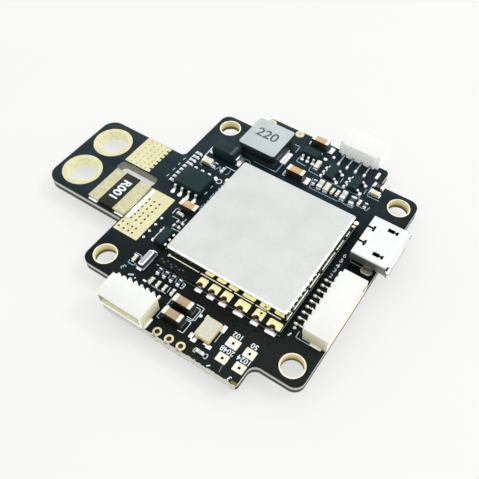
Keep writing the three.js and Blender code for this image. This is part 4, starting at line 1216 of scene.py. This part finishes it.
def underside():
    """The inferred parts of the underside."""
    for name, node, size, row in (("flash_chip", "flash_memory", SOIC, spread_row(4, SOIC_PITCH)),
                                  ("display_chip", "osd_chip", WIDE_SOIC, spread_row(14, DISPLAY_PITCH))):
        x0, y0, z0, x1, y1, z1 = mm_box(node)
        leaded_chip(name, node, (x0 + x1) / 2, (y0 + y1) / 2, 0, size, z1 - z0, row, row, True)

    x0, y0, z0, x1, y1, z1 = mm_box("processor")
    half, h = 5.0, z1 - z0
    chip = Piece("processor_chip")
    where = {"x": (x0 + x1) / 2, "y": (y0 + y1) / 2, "z": UNDER - FILM, "flip": True}
    for shape in moulded((-half, -half, half, half), 0.3, 0.04, 0.12, h / 2, h, 0.1, 0.1, 3):
        chip.add(placed(shape, **where), EPOXY)
    chip.add(placed(disc(1 - half, 1 - half, 0.35, h - 0.03, h + 0.002, 24), **where), RESIN)
    path = [(half + y, z) for y, z in ((-0.2, 0.75), (0.2, 0.75), (0.35, 0.65), (0.45, 0.2), (0.6, 0.06),
                                       (1.0, 0.06))]
    for quarter in range(4):
        for place in spread_row(16, PROCESSOR_PITCH):
            lead = placed(strip(thick_line(path, 0.12), 0.22, 0), place)
            joint = dome(place, half + 0.85, 0.3, 0.6, 0.12, z=-FILM)
            for shape, material in ((lead, TIN), (joint, SOLDER)):
                chip.add(placed(placed(shape, turn=90 * quarter), **where), material)
    chip.done("black_epoxy", "processor")

    plain_chip("motion_chip", "motion_sensor", EPOXY)
    plain_chip("pressure_can", "pressure_sensor", LID)
    for i in (1, 2):
        x0, y0, z0, x1, y1, z1 = mm_box(f"tantalum_capacitor_{i}")
        part = Piece(f"tantalum_{i}")
        part.add(block(x0, y0, z0, x1, y1, z1, 0.07), BROWN)
        for x in (x0, x1):
            part.add(block(x - 0.06, y0 + 0.2, z0 + 0.5, x + 0.06, y1 - 0.2, z1 + 0.03, 0.03), TIN)
        part.add(block(x1 - 0.7, y0 + 0.05, z0 - 0.004, x1 - 0.35, y1 - 0.05, z0 + 0.02, 0),
                 WHITE_INK_AND_HIGHLIGHT)
        part.done("tan_ceramic", f"tantalum_capacitor_{i}")


# ---------------- stage

FLOOR_HALF = 3.0                    # metres
FLOOR_GLOW = 0.62                   # the paper lies on a light table, so shadows on it stay faint
DOME_UP = (-0.25, 0.45, 0.85)       # where the dome of light is brightest
DOME_LEVELS = ((0.0, 0.42), (0.75, 1.0))
DOME_STRENGTH = 1.45


def stage():
    mesh = bpy.data.meshes.new("floor")
    z = cad_box[0][2] - 0.00001
    corner = ((-1, -1), (1, -1), (1, 1), (-1, 1))
    mesh.from_pydata([(sx * FLOOR_HALF, sy * FLOOR_HALF, z) for sx, sy in corner], [], [(0, 1, 2, 3)])
    floor = bpy.data.objects.new("floor", mesh)
    bpy.context.scene.collection.objects.link(floor)
    n = Nodes("floor_paper")
    n.set(Base_Color=n.ramp(n.noise(40.0, 2.0), (0.3, (0.238, 0.238, 0.234)), (0.7, (0.246, 0.246, 0.242))),
          Roughness=0.9, Specular_IOR_Level=0.0, Emission_Color=(1, 1, 0.99, 1), Emission_Strength=FLOOR_GLOW)
    mesh.materials.append(n.material)

    # A soft dome of light, brightest above and behind the board and dim on the camera's side.
    world = bpy.data.worlds.new("studio")
    bpy.context.scene.world = world
    world.use_nodes = True
    nodes, links = world.node_tree.nodes, world.node_tree.links
    facing = nodes.new("ShaderNodeVectorMath")
    facing.operation = "DOT_PRODUCT"
    facing.inputs[1].default_value = Vector(DOME_UP).normalized()
    links.new(nodes.new("ShaderNodeTexCoord").outputs["Generated"], facing.inputs[0])
    glow = nodes.new("ShaderNodeValToRGB")
    for element, (position, grey) in zip(glow.color_ramp.elements, DOME_LEVELS):
        element.position = position
        element.color = (grey * 0.98, grey * 0.995, grey, 1)
    links.new(facing.outputs["Value"], glow.inputs["Fac"])
    links.new(glow.outputs["Color"], nodes["Background"].inputs["Color"])
    nodes["Background"].inputs["Strength"].default_value = DOME_STRENGTH

    light = bpy.data.lights.new("key_softbox", "AREA")
    light.shape = "SQUARE"
    light.size = 0.12
    light.energy = 0.9
    lamp = bpy.data.objects.new("key_softbox", light)
    lamp.location = (0.3, 0.2, 0.45)
    lamp.rotation_euler = (-lamp.location).to_track_quat("-Z", "Y").to_euler()
    bpy.context.scene.collection.objects.link(lamp)
    view = bpy.context.scene.view_settings
    view.view_transform = "Standard"
    view.look = "None"


CAMERA_AT = (0.02864, -0.0455, 0.06988)     # metres from the middle of the board's top
CAMERA_LOOK = (-0.3113, 0.5104, -0.8016)
CAMERA_UP = (-0.4475, 0.6653, 0.5975)


def camera():
    data = bpy.data.cameras.new("camera")
    data.lens = 45.96
    data.sensor_width = 36
    data.shift_x = -0.047
    data.clip_start = 0.005
    data.clip_end = 20
    cam = bpy.data.objects.new("camera", data)
    cam.location = Vector(CAMERA_AT) + Vector((0, 0, TOP * MM))
    back = -Vector(CAMERA_LOOK).normalized()
    side = Vector(CAMERA_UP).cross(back).normalized()
    cam.rotation_euler = Matrix((side, back.cross(side), back)).transposed().to_euler()
    bpy.context.scene.collection.objects.link(cam)
    bpy.context.scene.camera = cam


# The order matters only to the four that draw random numbers.
for build in (main_board, plated_holes, module_board, shield_can, module_chips, top_chips, inductor, shunt,
              diode, bulk_capacitors, crystals, headers, usb_socket, small_parts, gold_pads, legends,
              underside, stage, camera):
    build()
